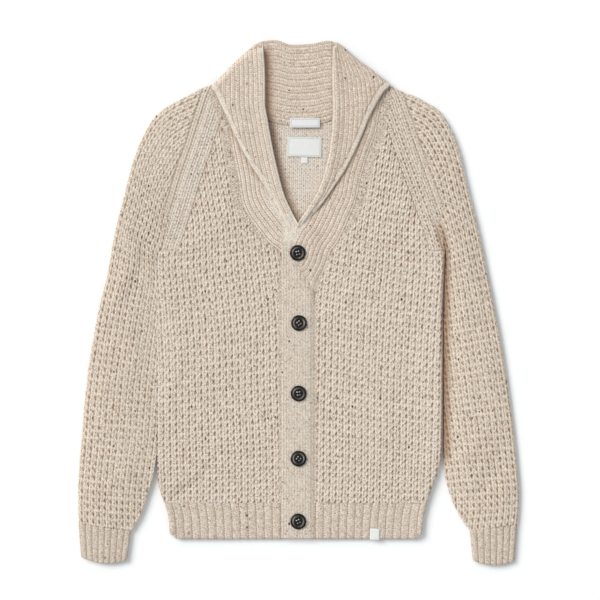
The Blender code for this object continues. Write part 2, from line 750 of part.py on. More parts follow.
def collar_fall(name, table, roll_line, side, fan, crossed, rib_finish):
    """The part of the collar that turns back over the band, in strips along its ribs.

    side is -1 where the strips run out towards minus X, and 1 for plus X.
    """
    width = table[-1][0]
    edge = rolled_edge(ROLL_HEIGHT / 2, RIB_WALL, 1.0)
    first = edge[-1][0]
    rib_places, step = rib_stops(width - first, round((width - first) / COLLAR_RIB_PITCH))
    strips = list(edge) + [(first + s, 0.0, first + s, 0.0) for s in rib_places[1:]]
    outer, inner = [], []
    for reach, down, reach_in, down_in in strips:
        top_y = along(table, 1, reach)
        bottom_y = along(table, 2, reach)
        span = top_y - bottom_y
        turn = min(FALL_TURN, span / 2)
        ys = [top_y - turn * t for t in FALL_TOP_STOPS]
        ys += [top_y - turn - (span - turn) * t for t in FALL_STOPS]
        outer_row, inner_row = [], []
        for y in ys:
            draw = along(fan, 1, y) if fan else 1.0
            roll_x = along(roll_line, 0, y, key=1)
            place = (roll_x + side * reach * draw, y)
            base = band_base(place[1]) + (crossing_rise(*place) if crossed else 0.0)
            near_roll = 1.0 - ease((reach - first) / FALL_SLOPE)
            swell = (ROLL_HEIGHT - FALL_RISE - RIB_WALL) * near_roll
            under = base + FALL_RISE + swell
            sunk = 1.0 - math.sin(math.pi / 2 * min((top_y - y) / turn, 1.0))
            sink = sunk * (under + RIB_WALL - BAND_RAISED) * FALL_SINK
            rib = rib_profile(reach - first, step) if reach > first else 0.0
            raised = RIB_RAISE * rib * (1.0 - sunk) * ease((y - bottom_y) / FALL_RIB_END)
            outer_z = max(under + RIB_WALL + raised - down - sink, FALL_END_LEVEL * (sunk > 0.9))
            outer_row.append((*place, outer_z))
            shift = RIB_WALL * sunk
            inner_x = roll_x + side * reach_in * draw
            inner_sink = sunk * (under - BAND_RAISED) * FALL_SINK
            inner_z = max(under - down_in - inner_sink, FALL_END_LEVEL * (sunk > 0.9))
            inner_row.append((inner_x, y - shift, inner_z))
        outer.append(outer_row)
        inner.append(inner_row)
    return wall(name, outer, inner, rib_finish)


def collar_back(rib_finish):
    """Back of the collar: the stand with its ribs showing, and the fall folded behind it."""
    fold = (BACK_STAND_BASE + RIB_WALL) / 2
    rib_places, step = rib_stops(1.0, BACK_STAND_RIBS)
    outer, inner = [], []
    for x, top_y in COLLAR_TOP:
        low_y = neck_seam(x) + SEAM
        line_out, line_in = [], []
        high_y = top_y - fold
        for share in rib_places:
            y = low_y + (high_y - low_y) * share
            raised = RIB_RAISE * rib_profile(share, step)
            line_out.append((x, y, 2 * fold + raised))
            line_in.append((x, y, BACK_STAND_BASE))
        for degrees in COLLAR_FOLD_ANGLES:
            angle = math.radians(degrees)
            small = fold - RIB_WALL
            out_y, out_z = high_y + fold * math.cos(angle), fold + fold * math.sin(angle)
            line_out.append((x, out_y, out_z))
            in_y, in_z = high_y + small * math.cos(angle), fold + small * math.sin(angle)
            line_in.append((x, in_y, in_z))
        free_y = max(COLLAR_FREE_BACK, low_y + RIB_WALL)
        for share in (0.5, 1.0):
            y = high_y + (free_y - high_y) * share
            line_out.append((x, y, 0.0))
            line_in.append((x, y, RIB_WALL))
        outer.append(line_out)
        inner.append(line_in)
    return wall("collar_back", outer, inner, rib_finish)


# ---------------------------------------------------------------- placket, buttons and labels

def placket_under(finish):
    outer, inner = [], []
    for y in np.linspace(UNDER_PLACKET_TOP, PLACKET_BOTTOM, 9):
        xs = np.linspace(PLACKET_LEFT, UNDER_PLACKET_RIGHT, 3)
        outer.append([(x, y, BAND_BASE + PLACKET_WALL) for x in xs])
        inner.append([(x, y, BAND_BASE) for x in xs])
    return wall("placket_under", outer, inner, finish)


def placket_top(finish):
    """The buttonhole placket; its right edge steps down to the left front that it is sewn to."""
    outer, inner = [], []
    for share in np.linspace(0.0, 1.0, 13):
        outer_row, inner_row = [], []
        for x, drop in PLACKET_COLUMNS:
            across = (x - PLACKET_LEFT) / (PLACKET_RIGHT - PLACKET_LEFT)
            top_y = PLACKET_SEAM_TOP + (PLACKET_SEAM_LOW - PLACKET_SEAM_TOP) * across - SEAM
            y = top_y + (PLACKET_BOTTOM - top_y) * share
            outer_row.append((x, y, CROSSED_BASE + PLACKET_WALL - drop))
            inner_row.append((x, y, CROSSED_BASE - (drop if x > 0 else 0.0)))
        outer.append(outer_row)
        inner.append(inner_row)
    return wall("placket_top", outer, inner, finish)


def button(name, x, y, finish):
    """A horn button with a raised rim, a dished middle and four holes."""
    radius = BUTTON_ACROSS / 2
    x, y = x - CENTRE[0], y - CENTRE[1]
    work = bmesh.new()
    made = [work.verts.new((radius * share * MM, 0.0, z * MM)) for share, z in BUTTON_PROFILE]
    edges = [work.edges.new(pair) for pair in zip(made, made[1:])]
    bmesh.ops.spin(
        work, geom=made + edges, cent=(0, 0, 0), axis=(0, 0, 1), angle=math.tau, steps=BUTTON_SIDES
    )
    bmesh.ops.remove_doubles(work, verts=work.verts, dist=0.00001)
    bmesh.ops.recalc_face_normals(work, faces=work.faces)
    mesh = bpy.data.meshes.new(name)
    work.to_mesh(mesh)
    work.free()
    mesh.materials.append(finish)
    mesh.shade_smooth()
    made = bpy.data.objects.new(name, mesh)
    bpy.context.collection.objects.link(made)
    made.location = (x * MM, y * MM, (CROSSED_BASE + PLACKET_WALL + SEAM) * MM)
    for number in range(4):
        angle = math.radians(45 + 90 * number)
        reach = BUTTON_HOLE_SPACING / math.sqrt(2)
        bpy.ops.mesh.primitive_cylinder_add(
            vertices=6,
            radius=BUTTON_HOLE / 2 * MM,
            depth=4 * BUTTON_DEPTH * MM,
            location=(
                (x + reach * math.cos(angle)) * MM,
                (y + reach * math.sin(angle)) * MM,
                made.location.z,
            ),
        )
        cutter = bpy.context.object
        cutter.name = f"{name}_hole_{number + 1}"
        cutter.hide_render = True
        cutter.display_type = "WIRE"
        cut = made.modifiers.new("hole", "BOOLEAN")
        cut.operation = "DIFFERENCE"
        cut.object = cutter
    return made


def label(name, centre, size, low, turn, finish):
    """A woven label: a thin plate with a few spans, so that it can follow the cloth."""
    angle = math.radians(turn)
    outer, inner = [], []
    for v in (-0.5, 0.5):
        outer_row, inner_row = [], []
        for u in (-0.5, 0.0, 0.5):
            x = centre[0] + u * size[0] * math.cos(angle) - v * size[1] * math.sin(angle)
            y = centre[1] + u * size[0] * math.sin(angle) + v * size[1] * math.cos(angle)
            outer_row.append((x, y, low + LABEL_WALL))
            inner_row.append((x, y, low))
        outer.append(outer_row)
        inner.append(inner_row)
    return wall(name, outer, inner, finish)


# ---------------------------------------------------------------- the whole garment

def build():
    for old in list(bpy.data.objects):
        bpy.data.objects.remove(old)
    knit = material("waffle_knit", YARN, 0.95)
    rib = material("rib_knit", YARN, 0.95)
    jersey = material("jersey_knit", JERSEY, 0.92)
    horn = material("dark_horn", HORN, 0.32)
    woven = material("woven_label", LABEL, 0.8)

    back_panel(knit)
    front_sections("front_right", FRONT_RIGHT, knit)
    front_sections("front_left", FRONT_LEFT, knit)
    sleeve("sleeve_right", SLEEVE_RIGHT, knit)
    sleeve("sleeve_left", SLEEVE_LEFT, knit)
    cuff("cuff_right", SLEEVE_RIGHT[-1], CUFF_RIGHT_END, rib)
    cuff("cuff_left", SLEEVE_LEFT[-1], CUFF_LEFT_END, rib)

    hem_front("hem_front_right", HEM_RIGHT, PLACKET_LEFT - SEAM / 2, rib)
    hem_front("hem_front_left", HEM_LEFT, PLACKET_RIGHT + SEAM, rib)
    hem_back(HEM_RIGHT, HEM_LEFT, rib)

    collar_back(rib)
    collar_band(
        "collar_band_right", FRONT_RIGHT, ROLL_RIGHT, RIGHT_ROLLED_ROWS, 3, False, rib
    )
    collar_band("collar_band_left", FRONT_LEFT, ROLL_LEFT, LEFT_ROLLED_ROWS, 5, True, rib)
    collar_fall("collar_fall_right", FALL_RIGHT, ROLL_RIGHT, -1, None, False, rib)
    collar_fall("collar_fall_left", FALL_LEFT, ROLL_LEFT, 1, FAN_LEFT, True, rib)

    placket_under(jersey)
    placket_top(jersey)
    for number, (x, y) in enumerate(BUTTONS):
        button(f"button_{number + 1}", x, y, horn)

    for name, centre, size, low, turn in LABELS:
        label(name, centre, size, low, turn, woven)


build()
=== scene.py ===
# %% [markdown]
# # A shawl collar cardigan, laid flat
# This lesson dresses a knitted cardigan that lies on a pale table with its front up. The solids
# of its pieces are already there as a frame. Each piece of knit gets a fine shell on its solid's
# form, with the stitches raised in the mesh, and a yarn finish that follows those stitches.
# Lengths are in millimetres up to the point where a mesh is made, because a knitter measures so.

import json
import math

import bpy
import numpy as np
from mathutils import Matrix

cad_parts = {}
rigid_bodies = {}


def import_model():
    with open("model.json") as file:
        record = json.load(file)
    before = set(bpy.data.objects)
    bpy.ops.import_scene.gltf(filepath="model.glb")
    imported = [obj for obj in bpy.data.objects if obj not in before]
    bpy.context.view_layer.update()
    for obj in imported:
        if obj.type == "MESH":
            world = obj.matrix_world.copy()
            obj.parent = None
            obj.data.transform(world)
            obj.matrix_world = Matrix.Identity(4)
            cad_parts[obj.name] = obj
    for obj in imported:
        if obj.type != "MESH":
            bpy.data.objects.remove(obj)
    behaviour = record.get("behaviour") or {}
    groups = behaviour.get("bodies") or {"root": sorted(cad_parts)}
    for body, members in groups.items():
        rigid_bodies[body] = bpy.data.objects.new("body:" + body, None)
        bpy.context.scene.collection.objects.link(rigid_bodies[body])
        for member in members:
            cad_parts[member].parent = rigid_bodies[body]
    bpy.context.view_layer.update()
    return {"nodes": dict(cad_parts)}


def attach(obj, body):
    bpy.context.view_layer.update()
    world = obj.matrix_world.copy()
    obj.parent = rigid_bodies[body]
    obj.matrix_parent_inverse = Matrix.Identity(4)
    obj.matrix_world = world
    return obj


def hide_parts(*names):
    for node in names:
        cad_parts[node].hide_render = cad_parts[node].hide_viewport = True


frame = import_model()
bpy.ops.object.select_all(action="DESELECT")
MM = 0.001
# The tables below are laid out from the middle of the neck; this point is the frame's origin.
CENTRE = np.array((-2.2, 1.1, 0))
print("pieces in the frame:", len(frame["nodes"]))

# %% [markdown]
# ## Camera, light and table first
# A flat garment is looked at straight down. A long lens keeps the sleeves from leaning outwards.
# One large soft light from the upper left draws every rib and throws the short shadows beside the
# collar and the sleeves; a pale world fills them. Painted shadow in the finishes deepens some of
# them, beside the collar and the left sleeve.

# %% Camera, light and table
VIEW_WIDTH = 900        # what the picture takes in, at the cloth's middle height
VIEW_CENTRE = (2.2, 4.15)
CAMERA_HEIGHT = 4000
CLOTH_HEIGHT = 9
SOFTNESS = 34           # degrees that the window takes up, seen from the table


def studio():
    """Make the camera, the light, the world and the table."""
    scene = bpy.context.scene
    bpy.ops.object.camera_add(
        location=(VIEW_CENTRE[0] * MM, VIEW_CENTRE[1] * MM, (CAMERA_HEIGHT + CLOTH_HEIGHT) * MM)
    )
    camera = bpy.context.object
    camera.rotation_euler = (0, 0, 0)
    camera.data.sensor_width = 36
    camera.data.lens = 36 * CAMERA_HEIGHT / VIEW_WIDTH
    camera.data.clip_end = 100
    scene.camera = camera

    bpy.ops.object.light_add(type="SUN", location=(-2.4, 1.5, 2.7))
    key = bpy.context.object
    key.name = "soft_window"
    key.data.energy = 2.35
    key.data.angle = math.radians(SOFTNESS)
    key.data.color = (1, 0.985, 0.965)
    key.rotation_euler = (-key.location.normalized()).to_track_quat("-Z", "Y").to_euler()

    world = bpy.data.worlds.new("pale_room")
    world.use_nodes = True
    world.node_tree.nodes["Background"].inputs["Color"].default_value = (0.93, 0.97, 1, 1)
    world.node_tree.nodes["Background"].inputs["Strength"].default_value = 0.6
    scene.world = world
    scene.view_settings.view_transform = "Standard"

    bpy.ops.mesh.primitive_plane_add(size=14, location=(0, 0, -0.0004))
    table = bpy.context.object
    table.name = "table"
    paper = bpy.data.materials.new("pale_table")
    paper.use_nodes = True
    shader = paper.node_tree.nodes["Principled BSDF"]
    shader.inputs["Base Color"].default_value = (0.94, 0.94, 0.94, 1)
    shader.inputs["Roughness"].default_value = 0.9
    shader.inputs["Specular IOR Level"].default_value = 0.1
    table.data.materials.append(paper)
    bpy.ops.object.select_all(action="DESELECT")
    print("camera lens", round(camera.data.lens, 1), "mm")


studio()

# %% [markdown]
# ## The cut of the garment
# These short tables are the pattern pieces as they lie: each row is one section across a piece.
# They are the same sections that the solids were made from, so a shell fits its solid.

# %% Sizes and levels
SEAM = 0.06             # air along a seam
BODY_WALL = 4
RIB_WALL = 2.8
FRONT_TOP = 8.7         # upper skin of a front
SIDE_TOP = 11.6         # the same at the side fold, where the cloth stands a little
SLEEVE_CROWN = 12.2
SLEEVE_FOLD = 9.4
BAND_RISE = ((170, 262), (4.6, 7.8))    # y, and the band's under skin there
CROSSED_BASE = 7.9
FALL_RISE = 4.4
ROLL_HEIGHT = 9.2
FALL_END_LEVEL = 8
BACK_STAND_BASE = 3.3
NECK_LOW = 266
NECK_RISE = 57
NECK_HALF = 117
NECK_POWER = 2.17
PLACKET_LEFT = -27.6
PLACKET_RIGHT = 21.4
PLACKET_BOTTOM = -352
UNDER_PLACKET_RIGHT = 14.2
HEM_CORNER = 6
RAGLAN_END = 80       # y where the raglan seam ends and the side fold begins

# %% Sections of the pieces
FRONT_RIGHT = (
    # side_x, side_y, centre_x, centre_y
    (-129.8, 317.2, -126.8, 320.2),
    (-135, 303.8, -120, 303.8),
    (-140.2, 287.2, -112.5, 285.8),
    (-148.5, 261.8, -106.5, 261.8),
    (-158.2, 231.8, -101, 231.8),
    (-171, 195.8, -93.8, 195.8),
    (-184.5, 150.8, -86.2, 150.8),
    (-192, 126.8, -76.5, 129.8),
    (-198, 108.8, -63, 111.8),
    (-204.8, 90.8, -46.5, 91.5),
    (-208.5, 77.2, -29.5, 76.5),
    (-214.2, 53.2, -28, 53.2),
    (-214.5, 12.8, -28, 17.2),
    (-214.5, -21.8, -28, -21.8),
    (-214.5, -152.2, -28, -152.2),
    (-214.5, -219.8, -28, -219.8),
    (-213.6, -255.8, -28, -255.8),
    (-210, -279.8, -28, -279.8),
    (-203, -299.2, -28, -299.2),
)
FRONT_LEFT = (
    # side_x, side_y, centre_x, centre_y
    (135, 317.2, 132, 320.2),
    (141.8, 303.8, 123.8, 303.8),
    (147.5, 287.2, 119, 285.8),
    (156.5, 261.8, 115.5, 261.8),
    (167, 231.8, 105, 231.8),
    (180, 195.8, 93, 194.2),
    (196.2, 150.8, 83.2, 150.8),
    (204.8, 126.8, 72.8, 126.8),
    (210.8, 108.8, 65.2, 108.8),
    (215.7, 90.8, 55.5, 90.8),
    (218.2, 77.2, 46, 77.2),
    (216.8, 53.2, 39, 56.2),
    (215.2, 12.8, 23, 17.2),
    (214.5, -21.8, 21.9, -21.8),
    (214.5, -152.2, 21.9, -152.2),
    (214, -219.8, 21.9, -219.8),
    (206.2, -255.8, 21.9, -255.8),
    (197.7, -279.8, 21.9, -279.8),
    (191, -299.2, 21.9, -299.2),
)
ROLL_RIGHT = (
    # x, y of the roll line, beside the first rows of the right front
    (-54.5, 375),
    (-53.2, 356),
    (-52.5, 332.2),
    (-52.5, 302.2),
    (-48, 272.2),
    (-42, 237.8),
    (-33.8, 200.2),
    (-24, 164.2),
    (-13.5, 140.2),
    (-1, 116.2),
    (16.5, 77.2),
)
ROLL_LEFT = (
    # x, y, beside the first rows of the left front
    (49, 375),
    (48.5, 356),
    (48.5, 329.2),
    (49.5, 299.2),
    (48.8, 269.2),
    (45, 231.8),
    (38.2, 200.2),
    (27.8, 170.2),
    (13.5, 144.8),
    (-3, 120.8),
    (-12, 107),
    (-19.5, 95.2),
    (-25.5, 87.8),
)
FALL_RIGHT = (
    # across from the roll, top_y, bottom_y
    (0, 384, 119.5),
    (7, 382.8, 113),
    (14, 381.5, 107),
    (16.8, 380.8, 118),
    (20, 380, 152),
    (25, 377, 173),
    (40.2, 366, 212.2),
    (55.2, 351, 258.8),
    (63, 343, 287.2),
    (73.5, 332.5, 312.8),
    (79, 328.4, 320.6),
)
FALL_LEFT = (
    # across from the roll, top_y, bottom_y
    (0, 384, 121.5),
    (7, 389, 115),
    (9.5, 390, 122),
    (15.4, 392, 140.6),
    (19.6, 391.5, 167.6),
    (28.8, 388, 197.2),
    (39.2, 384, 231.8),
    (55.5, 372, 280.2),
    (68, 357, 304),
    (80, 340, 319),
    (87, 331.8, 324),
)
FAN_LEFT = (
    # y, share of the full rib spacing
    (300, 1),
    (330, 0.96),
    (350, 0.82),
    (372, 0.55),
    (394, 0.33),
)
COLLAR_TOP = (
    # x, y
    (-120, 339.5),
    (-84, 374.5),
    (-58, 393),
    (-38, 395),
    (-12, 388),
    (18, 389.5),
    (42, 394),
    (54, 392),
    (84, 368),
    (120, 339),
)
COLLAR_FREE_BACK = 305
SLEEVE_RIGHT = (
    # outer_x, outer_y, inner_x, inner_y
    (-129.5, 330, -129.8, 317.2),
    (-147, 323.2, -135, 303.8),
    (-165, 313.5, -140.2, 287.2),
    (-183, 304.5, -148.5, 261.8),
    (-202.5, 293.2, -158.2, 231.8),
    (-222, 275.2, -171, 195.8),
    (-238.5, 245.2, -184.5, 150.8),
    (-247, 224, -192, 126.8),
    (-254, 201.5, -198, 108.8),
    (-260, 178, -204.8, 90.8),
    (-265, 157, -208.5, 77.2),
    (-277, 110.2, -214.5, 53.2),
    (-289, 41.2, -215.2, 12.8),
    (-298.5, 5.2, -215.2, -21.8),
    (-313, -66.8, -215.2, -84.8),
    (-322.5, -138.8, -215.2, -152.2),
    (-328.5, -210.8, -215.6, -219.8),
    (-331.5, -246.8, -220.5, -255.8),
    (-333, -282.8, -231, -291.8),
    (-332.6, -306.8, -240, -317.2),
    (-331.8, -329.2, -253.5, -341.2),
)
SLEEVE_LEFT = (
    # outer_x, outer_y, inner_x, inner_y
    (134.5, 327.5, 135, 317.2),
    (153, 318, 141.8, 303.8),
    (172.5, 311.2, 147.5, 287.2),
    (189, 302.2, 156.5, 261.8),
    (204, 293.2, 167, 231.8),
    (219, 275.2, 180, 195.8),
    (235.5, 239.2, 196.2, 150.8),
    (242.5, 214, 204.8, 126.8),
    (247.5, 191.5, 210.8, 108.8),
    (252.5, 171, 215.7, 90.8),
    (257, 152.5, 218.6, 77.2),
    (267, 113.2, 218, 53.2),
    (282, 41.2, 216.2, 12.8),
    (289.5, 5.2, 215.6, -21.8),
    (303, -66.8, 215.4, -84.8),
    (313.5, -138.8, 215.4, -152.2),
    (322.5, -210.8, 215.4, -219.8),
    (326, -246.8, 217.5, -255.8),
    (328.5, -282.8, 227, -291.8),
    (328, -309, 239, -318),
    (325.8, -330.8, 255, -341.2),
)
CUFF_RIGHT_END = (-328, -381, -259.5, -385.5)
CUFF_LEFT_END = (321.5, -386.5, 259, -385.5)
CUFF_SAG = 6.5
HEM_RIGHT = ((-203, -299.8), (-197.5, -322), (-195.5, -353))
HEM_LEFT = ((191, -299.8), (186, -322), (183.5, -353))
CREASES = (
    # x, y, half_length, half_width, turn, height; a trough has a height below 0
    (-150, 95, 60, 13, 28, 1.6),
    (150, 90, 62, 14, -30, 1.7),
    (-120, -60, 95, 26, 74, 1.3),
    (118, -120, 110, 24, 104, 1.4),
    (-95, -215, 70, 20, 12, 1),
    (80, 20, 70, 20, 60, 1.1),
    (-272, 20, 60, 12, 60, 1.3),
    (-285, -120, 55, 12, 35, 1.2),
    (-270, -215, 45, 11, 118, 1.4),
    (-292, -275, 34, 9, 20, 1.3),
    (262, 60, 60, 12, 118, 1.4),
    (272, -95, 55, 12, 150, 1.2),
    (268, -205, 45, 11, 60, 1.4),
    (290, -280, 34, 9, 165, 1.3),
    (-165, -255, 60, 11, 35, 1.2),
    (-185, -288, 40, 7, 30, -1.4),
    (165, -262, 55, 10, -32, 1),
    (175, 45, 60, 9, -62, -1),
    (-60, 40, 60, 15, 100, 0.7),
    (-238, 70, 110, 13, 84, -2.4),
    (-186, -60, 190, 17, 90, 1.5),
    (292, -252, 45, 14, 62, -2),
    (-312, -216, 24, 6, 3, -1.6),
    (-165, -277, 42, 10, 42, -1.8),
    (-105, -230, 60, 8, -5, -1.1),
    (172, 133, 50, 12, 72, -1.5),
    (182, 250, 36, 11, -52, -1.4),
)

OPENNESS = (
    # x, y, half_length, half_width, turn, how much wider or narrower the hollows are
    (-240, 60, 120, 20, 70, 0.35),
    (-190, 235, 110, 60, 50, -0.45),
    (200, 235, 80, 60, -50, 0.15),
    (-200, -70, 190, 15, 90, -0.35),
    (-226, -30, 140, 12, 88, -0.35),
    (-130, 180, 90, 25, 70, -0.15),
    (232, -60, 190, 14, 92, -0.15),
    (-260, -250, 60, 30, 60, -0.15),
    (120, -60, 150, 60, 100, -0.15),
    (-120, -200, 90, 50, 20, 0.10),
    (285, -258, 60, 36, 60, 0.35),
    (-285, -270, 70, 40, 90, 0.25),
    (-165, -280, 60, 18, 40, 0.25),
    (172, 133, 55, 14, 72, 0.2),
)

# %% [markdown]
# ## Tools for curves and shells
# A smooth curve runs through each column of a table without overshooting, so two pieces that
# share a seam share its curve too. A shell is a grid of points for the face that shows, a coarser
# one for the face that doesn't, and a rim, closed into one mesh. Each point keeps its place in
# the knitting, counted in stitches, and the yarn finish reads it.

# %% Curves
def column(table, index):
    return np.array([row[index] for row in table], float)


def stack(*parts):
    """Join arrays of numbers into one array of points."""
    return np.stack(np.broadcast_arrays(*parts), -1)


def ease(value):
    """0 below 0, 1 above 1 and a smooth step between."""
    t = np.clip(value, 0, 1)
    return t * t * (3 - 2 * t)


def bell(value, width):
    return np.exp(-((value / width) ** 2))


def wrap(value):
    """Distance to the nearest whole number, with its sign."""
    return value - np.round(value)


def through(keys, values):
    """A smooth curve through points, as a function of the key, with no overshoot."""
    order = np.argsort(keys)
    x, y = np.asarray(keys, float)[order], np.asarray(values, float)[order]
    step = np.diff(x)
    slope = np.diff(y) / step
    tangent = np.zeros_like(y)
    before, after = slope[:-1], slope[1:]
    same = before * after > 0
    near, far = (2 * step[1:] + step[:-1])[same], (step[1:] + 2 * step[:-1])[same]
    inside = np.zeros(len(y) - 2)
    inside[same] = (near + far) / (near / before[same] + far / after[same])
    tangent[1:-1] = inside
    tangent[0], tangent[-1] = slope[0], slope[-1]

    def at(key):
        key = np.asarray(key, float)
        held = np.clip(key, x[0], x[-1])
        i = np.clip(np.searchsorted(x, held) - 1, 0, len(step) - 1)
        t = (held - x[i]) / step[i]
        curve = y[i] * (1 + 2 * t) * (1 - t) ** 2 + y[i + 1] * t * t * (3 - 2 * t)
        curve += step[i] * (tangent[i] * t * (1 - t) ** 2 - tangent[i + 1] * t * t * (1 - t))
        beyond = np.where(key < x[0], tangent[0], tangent[-1]) * (key - held)
        return curve + beyond

    return at


def follow(table, key, value):
    """The smooth curve through two columns of a table."""
    return through(column(table, key), column(table, value))


def even(curve, count, low, high):
    """Keys between low and high that are evenly spaced along a curve of points."""
    keys = np.linspace(low, high, 3000)
    steps = np.linalg.norm(np.diff(curve(keys), axis=0), axis=1)
    run = np.concatenate([[0], np.cumsum(steps)])
    return np.interp(np.linspace(0, run[-1], count), run, keys)


def run_along(points):
    """Distance from the first point, along a line of points."""
    steps = np.linalg.norm(np.diff(points, axis=0), axis=1)
    return np.concatenate([[0], np.cumsum(steps)])


def headings(start, ends):
    """Unit directions from one line of points to another, and how far apart the points are."""
    toward = ends - start
    length = np.linalg.norm(toward, axis=1)
    return toward / length[:, None], length


def spread(start, toward, reach):
    """X and y of the places that are some reach from a line of points, one row for each."""
    return (start[:, k : k + 1] + toward[:, k : k + 1] * reach for k in (0, 1))


def direction(line):
    """Unit directions along a line of points."""
    step = np.gradient(line, axis=0)
    return step / np.linalg.norm(step, axis=1, keepdims=True)


def crossing(first, second):
    """Sine of the angle between two rows of directions, as a column."""
    return np.abs(first[:, 0] * second[:, 1] - first[:, 1] * second[:, 0])[:, None]


def soft_spots(table, x, y):
    """Sum of long soft humps at a place, such as the height that the creases add."""
    total = np.zeros_like(x)
    for mid_x, mid_y, half_length, half_width, turn, height in table:
        angle = math.radians(turn)
        run = (x - mid_x) * math.cos(angle) + (y - mid_y) * math.sin(angle)
        side = (y - mid_y) * math.cos(angle) - (x - mid_x) * math.sin(angle)
        bend = side - 0.0022 * run * run
        total += height * np.exp(-((run / half_length) ** 2) - (bend / half_width) ** 2)
    return total


def drift(x, y):
    """How far the knitting wanders from its grid, in millimetres each way."""
    across = 0.7 * np.sin(x / 47 + y / 83 + 0.6) + 0.5 * np.sin(y / 29 - x / 61 + 2)
    along = 0.9 * np.sin(x / 53 - y / 97 + 1.1) + 0.6 * np.sin(x / 31 + y / 45)
    across = across + 0.22 * np.sin(x / 5.1 + 2.3 * np.sin(y / 13))
    along = along + 0.28 * np.sin(y / 5.7 + 2.1 * np.sin(x / 11))
    return across, along


# %% Shells
def normals(points, sign=1):
    """Unit normals of a grid; sign 1 makes the first third of its columns face up."""
    normal = np.cross(np.gradient(points, axis=1), np.gradient(points, axis=0))
    normal /= np.linalg.norm(normal, axis=2, keepdims=True) + 1e-9
    third = max(1, points.shape[1] // 3)
    turned = np.sign(normal[:, :third, 2].mean()) * sign
    return normal * turned


def shell(name, outer, inner, stitches, finish, rows=None, columns=None, coarse=6, inside=None,
          **shares):
    """Close an outer grid and a thinned inner one into a mesh that keeps its stitch places."""
    inside = inside or {}
    count_rows, count_columns = outer.shape[:2]
    kept_rows = sorted({*(rows or range(0, count_rows, coarse)), 0, count_rows - 1})
    kept_columns = sorted({*(columns or range(0, count_columns, coarse)), 0, count_columns - 1})
    keep = np.zeros((count_rows, count_columns), bool)
    keep[np.ix_(kept_rows, kept_columns)] = True
    keep[[0, -1]] = True
    keep[:, [0, -1]] = True
    total = count_rows * count_columns
    outer_id = np.arange(total).reshape(count_rows, count_columns)
    inner_id = np.full((count_rows, count_columns), -1)
    inner_id[keep] = total + np.arange(keep.sum())
    quads = (outer_id[:-1, :-1], outer_id[:-1, 1:], outer_id[1:, 1:], outer_id[1:, :-1])
    faces = np.stack(quads, -1).reshape(-1, 4).tolist()
    ids = inner_id.tolist()
    for i, i_next in zip(kept_rows, kept_rows[1:]):
        for j, j_next in zip(kept_columns, kept_columns[1:]):
            loop = [ids[i][c] for c in range(j, j_next)]
            loop += [ids[r][j_next] for r in range(i, i_next)]
            loop += [ids[i_next][c] for c in range(j_next, j, -1)]
            loop += [ids[r][j] for r in range(i_next, i, -1)]
            faces.append([k for k in reversed(loop) if k >= 0])
    ring = [(0, j) for j in range(count_columns - 1)]
    ring += [(i, count_columns - 1) for i in range(count_rows - 1)]
    ring += [(count_rows - 1, j) for j in range(count_columns - 1, 0, -1)]
    ring += [(i, 0) for i in range(count_rows - 1, 0, -1)]
    for here, there in zip(ring, ring[1:] + ring[:1]):
        faces.append([int(outer_id[there]), int(outer_id[here]), ids[here[0]][here[1]],
                      ids[there[0]][there[1]]])
    points = np.concatenate([outer.reshape(-1, 3), inner[keep]])
    mesh = bpy.data.meshes.new(name)
    mesh.from_pydata(((points - CENTRE) * MM).tolist(), [], faces)
    corners = np.empty(len(mesh.loops), np.int32)
    mesh.loops.foreach_get("vertex_index", corners)
    for map_name, places in stitches.items():
        both = np.concatenate([places.reshape(-1, 2), inside.get(map_name, places)[keep]])
        uv = mesh.uv_layers.new(name=map_name)
        uv.data.foreach_set("uv", both[corners].astype(np.float32).ravel())
    for share_name, share in shares.items():
        share, under = (np.broadcast_to(part, keep.shape)
                        for part in (share, inside.get(share_name, share)))
        both = np.concatenate([share.reshape(-1), under[keep]])
        attribute = mesh.attributes.new(share_name, "FLOAT", "POINT")
        attribute.data.foreach_set("value", both.astype(np.float32))
    mesh.calc_loop_triangles()
    corner = np.empty(len(mesh.loop_triangles) * 3, np.int32)
    mesh.loop_triangles.foreach_get("vertices", corner)
    a, b, c = points[corner.reshape(-1, 3)].transpose(1, 0, 2)
    if np.einsum("ij,ij->i", a, np.cross(b, c)).sum() < 0:
        mesh.flip_normals()
    mesh.materials.append(finish)
    mesh.shade_smooth()
    mesh.set_sharp_from_angle(angle=math.radians(80))
    made = bpy.data.objects.new(name, mesh)
    bpy.context.collection.objects.link(made)
    print(f"{name}: {len(mesh.loop_triangles)} triangles")
    return made


def knitted(name, base, height, wall, u, v, finish, sign=1, floor=-np.inf, maps=(), **options):
    """A shell with its relief above a base grid, and its wall below it down to a floor."""
    normal = normals(base, sign)
    inner = base - normal * wall
    inner[..., 2] = np.maximum(inner[..., 2], floor)
    return shell(name, base + normal * height[..., None], inner,
                 {"stitches": stack(u, v), **dict(maps)}, finish, **options)


# %% [markdown]
# ## The stitches as relief
# The body is a waffle knit: pairs of strands wave down each column, part round a slanted hollow
# and close again between two hollows. Cuffs, hem and collar are ribs with narrow grooves. Both
# are formulas of the place in the knitting, so the mesh and the finish can use the same ones.

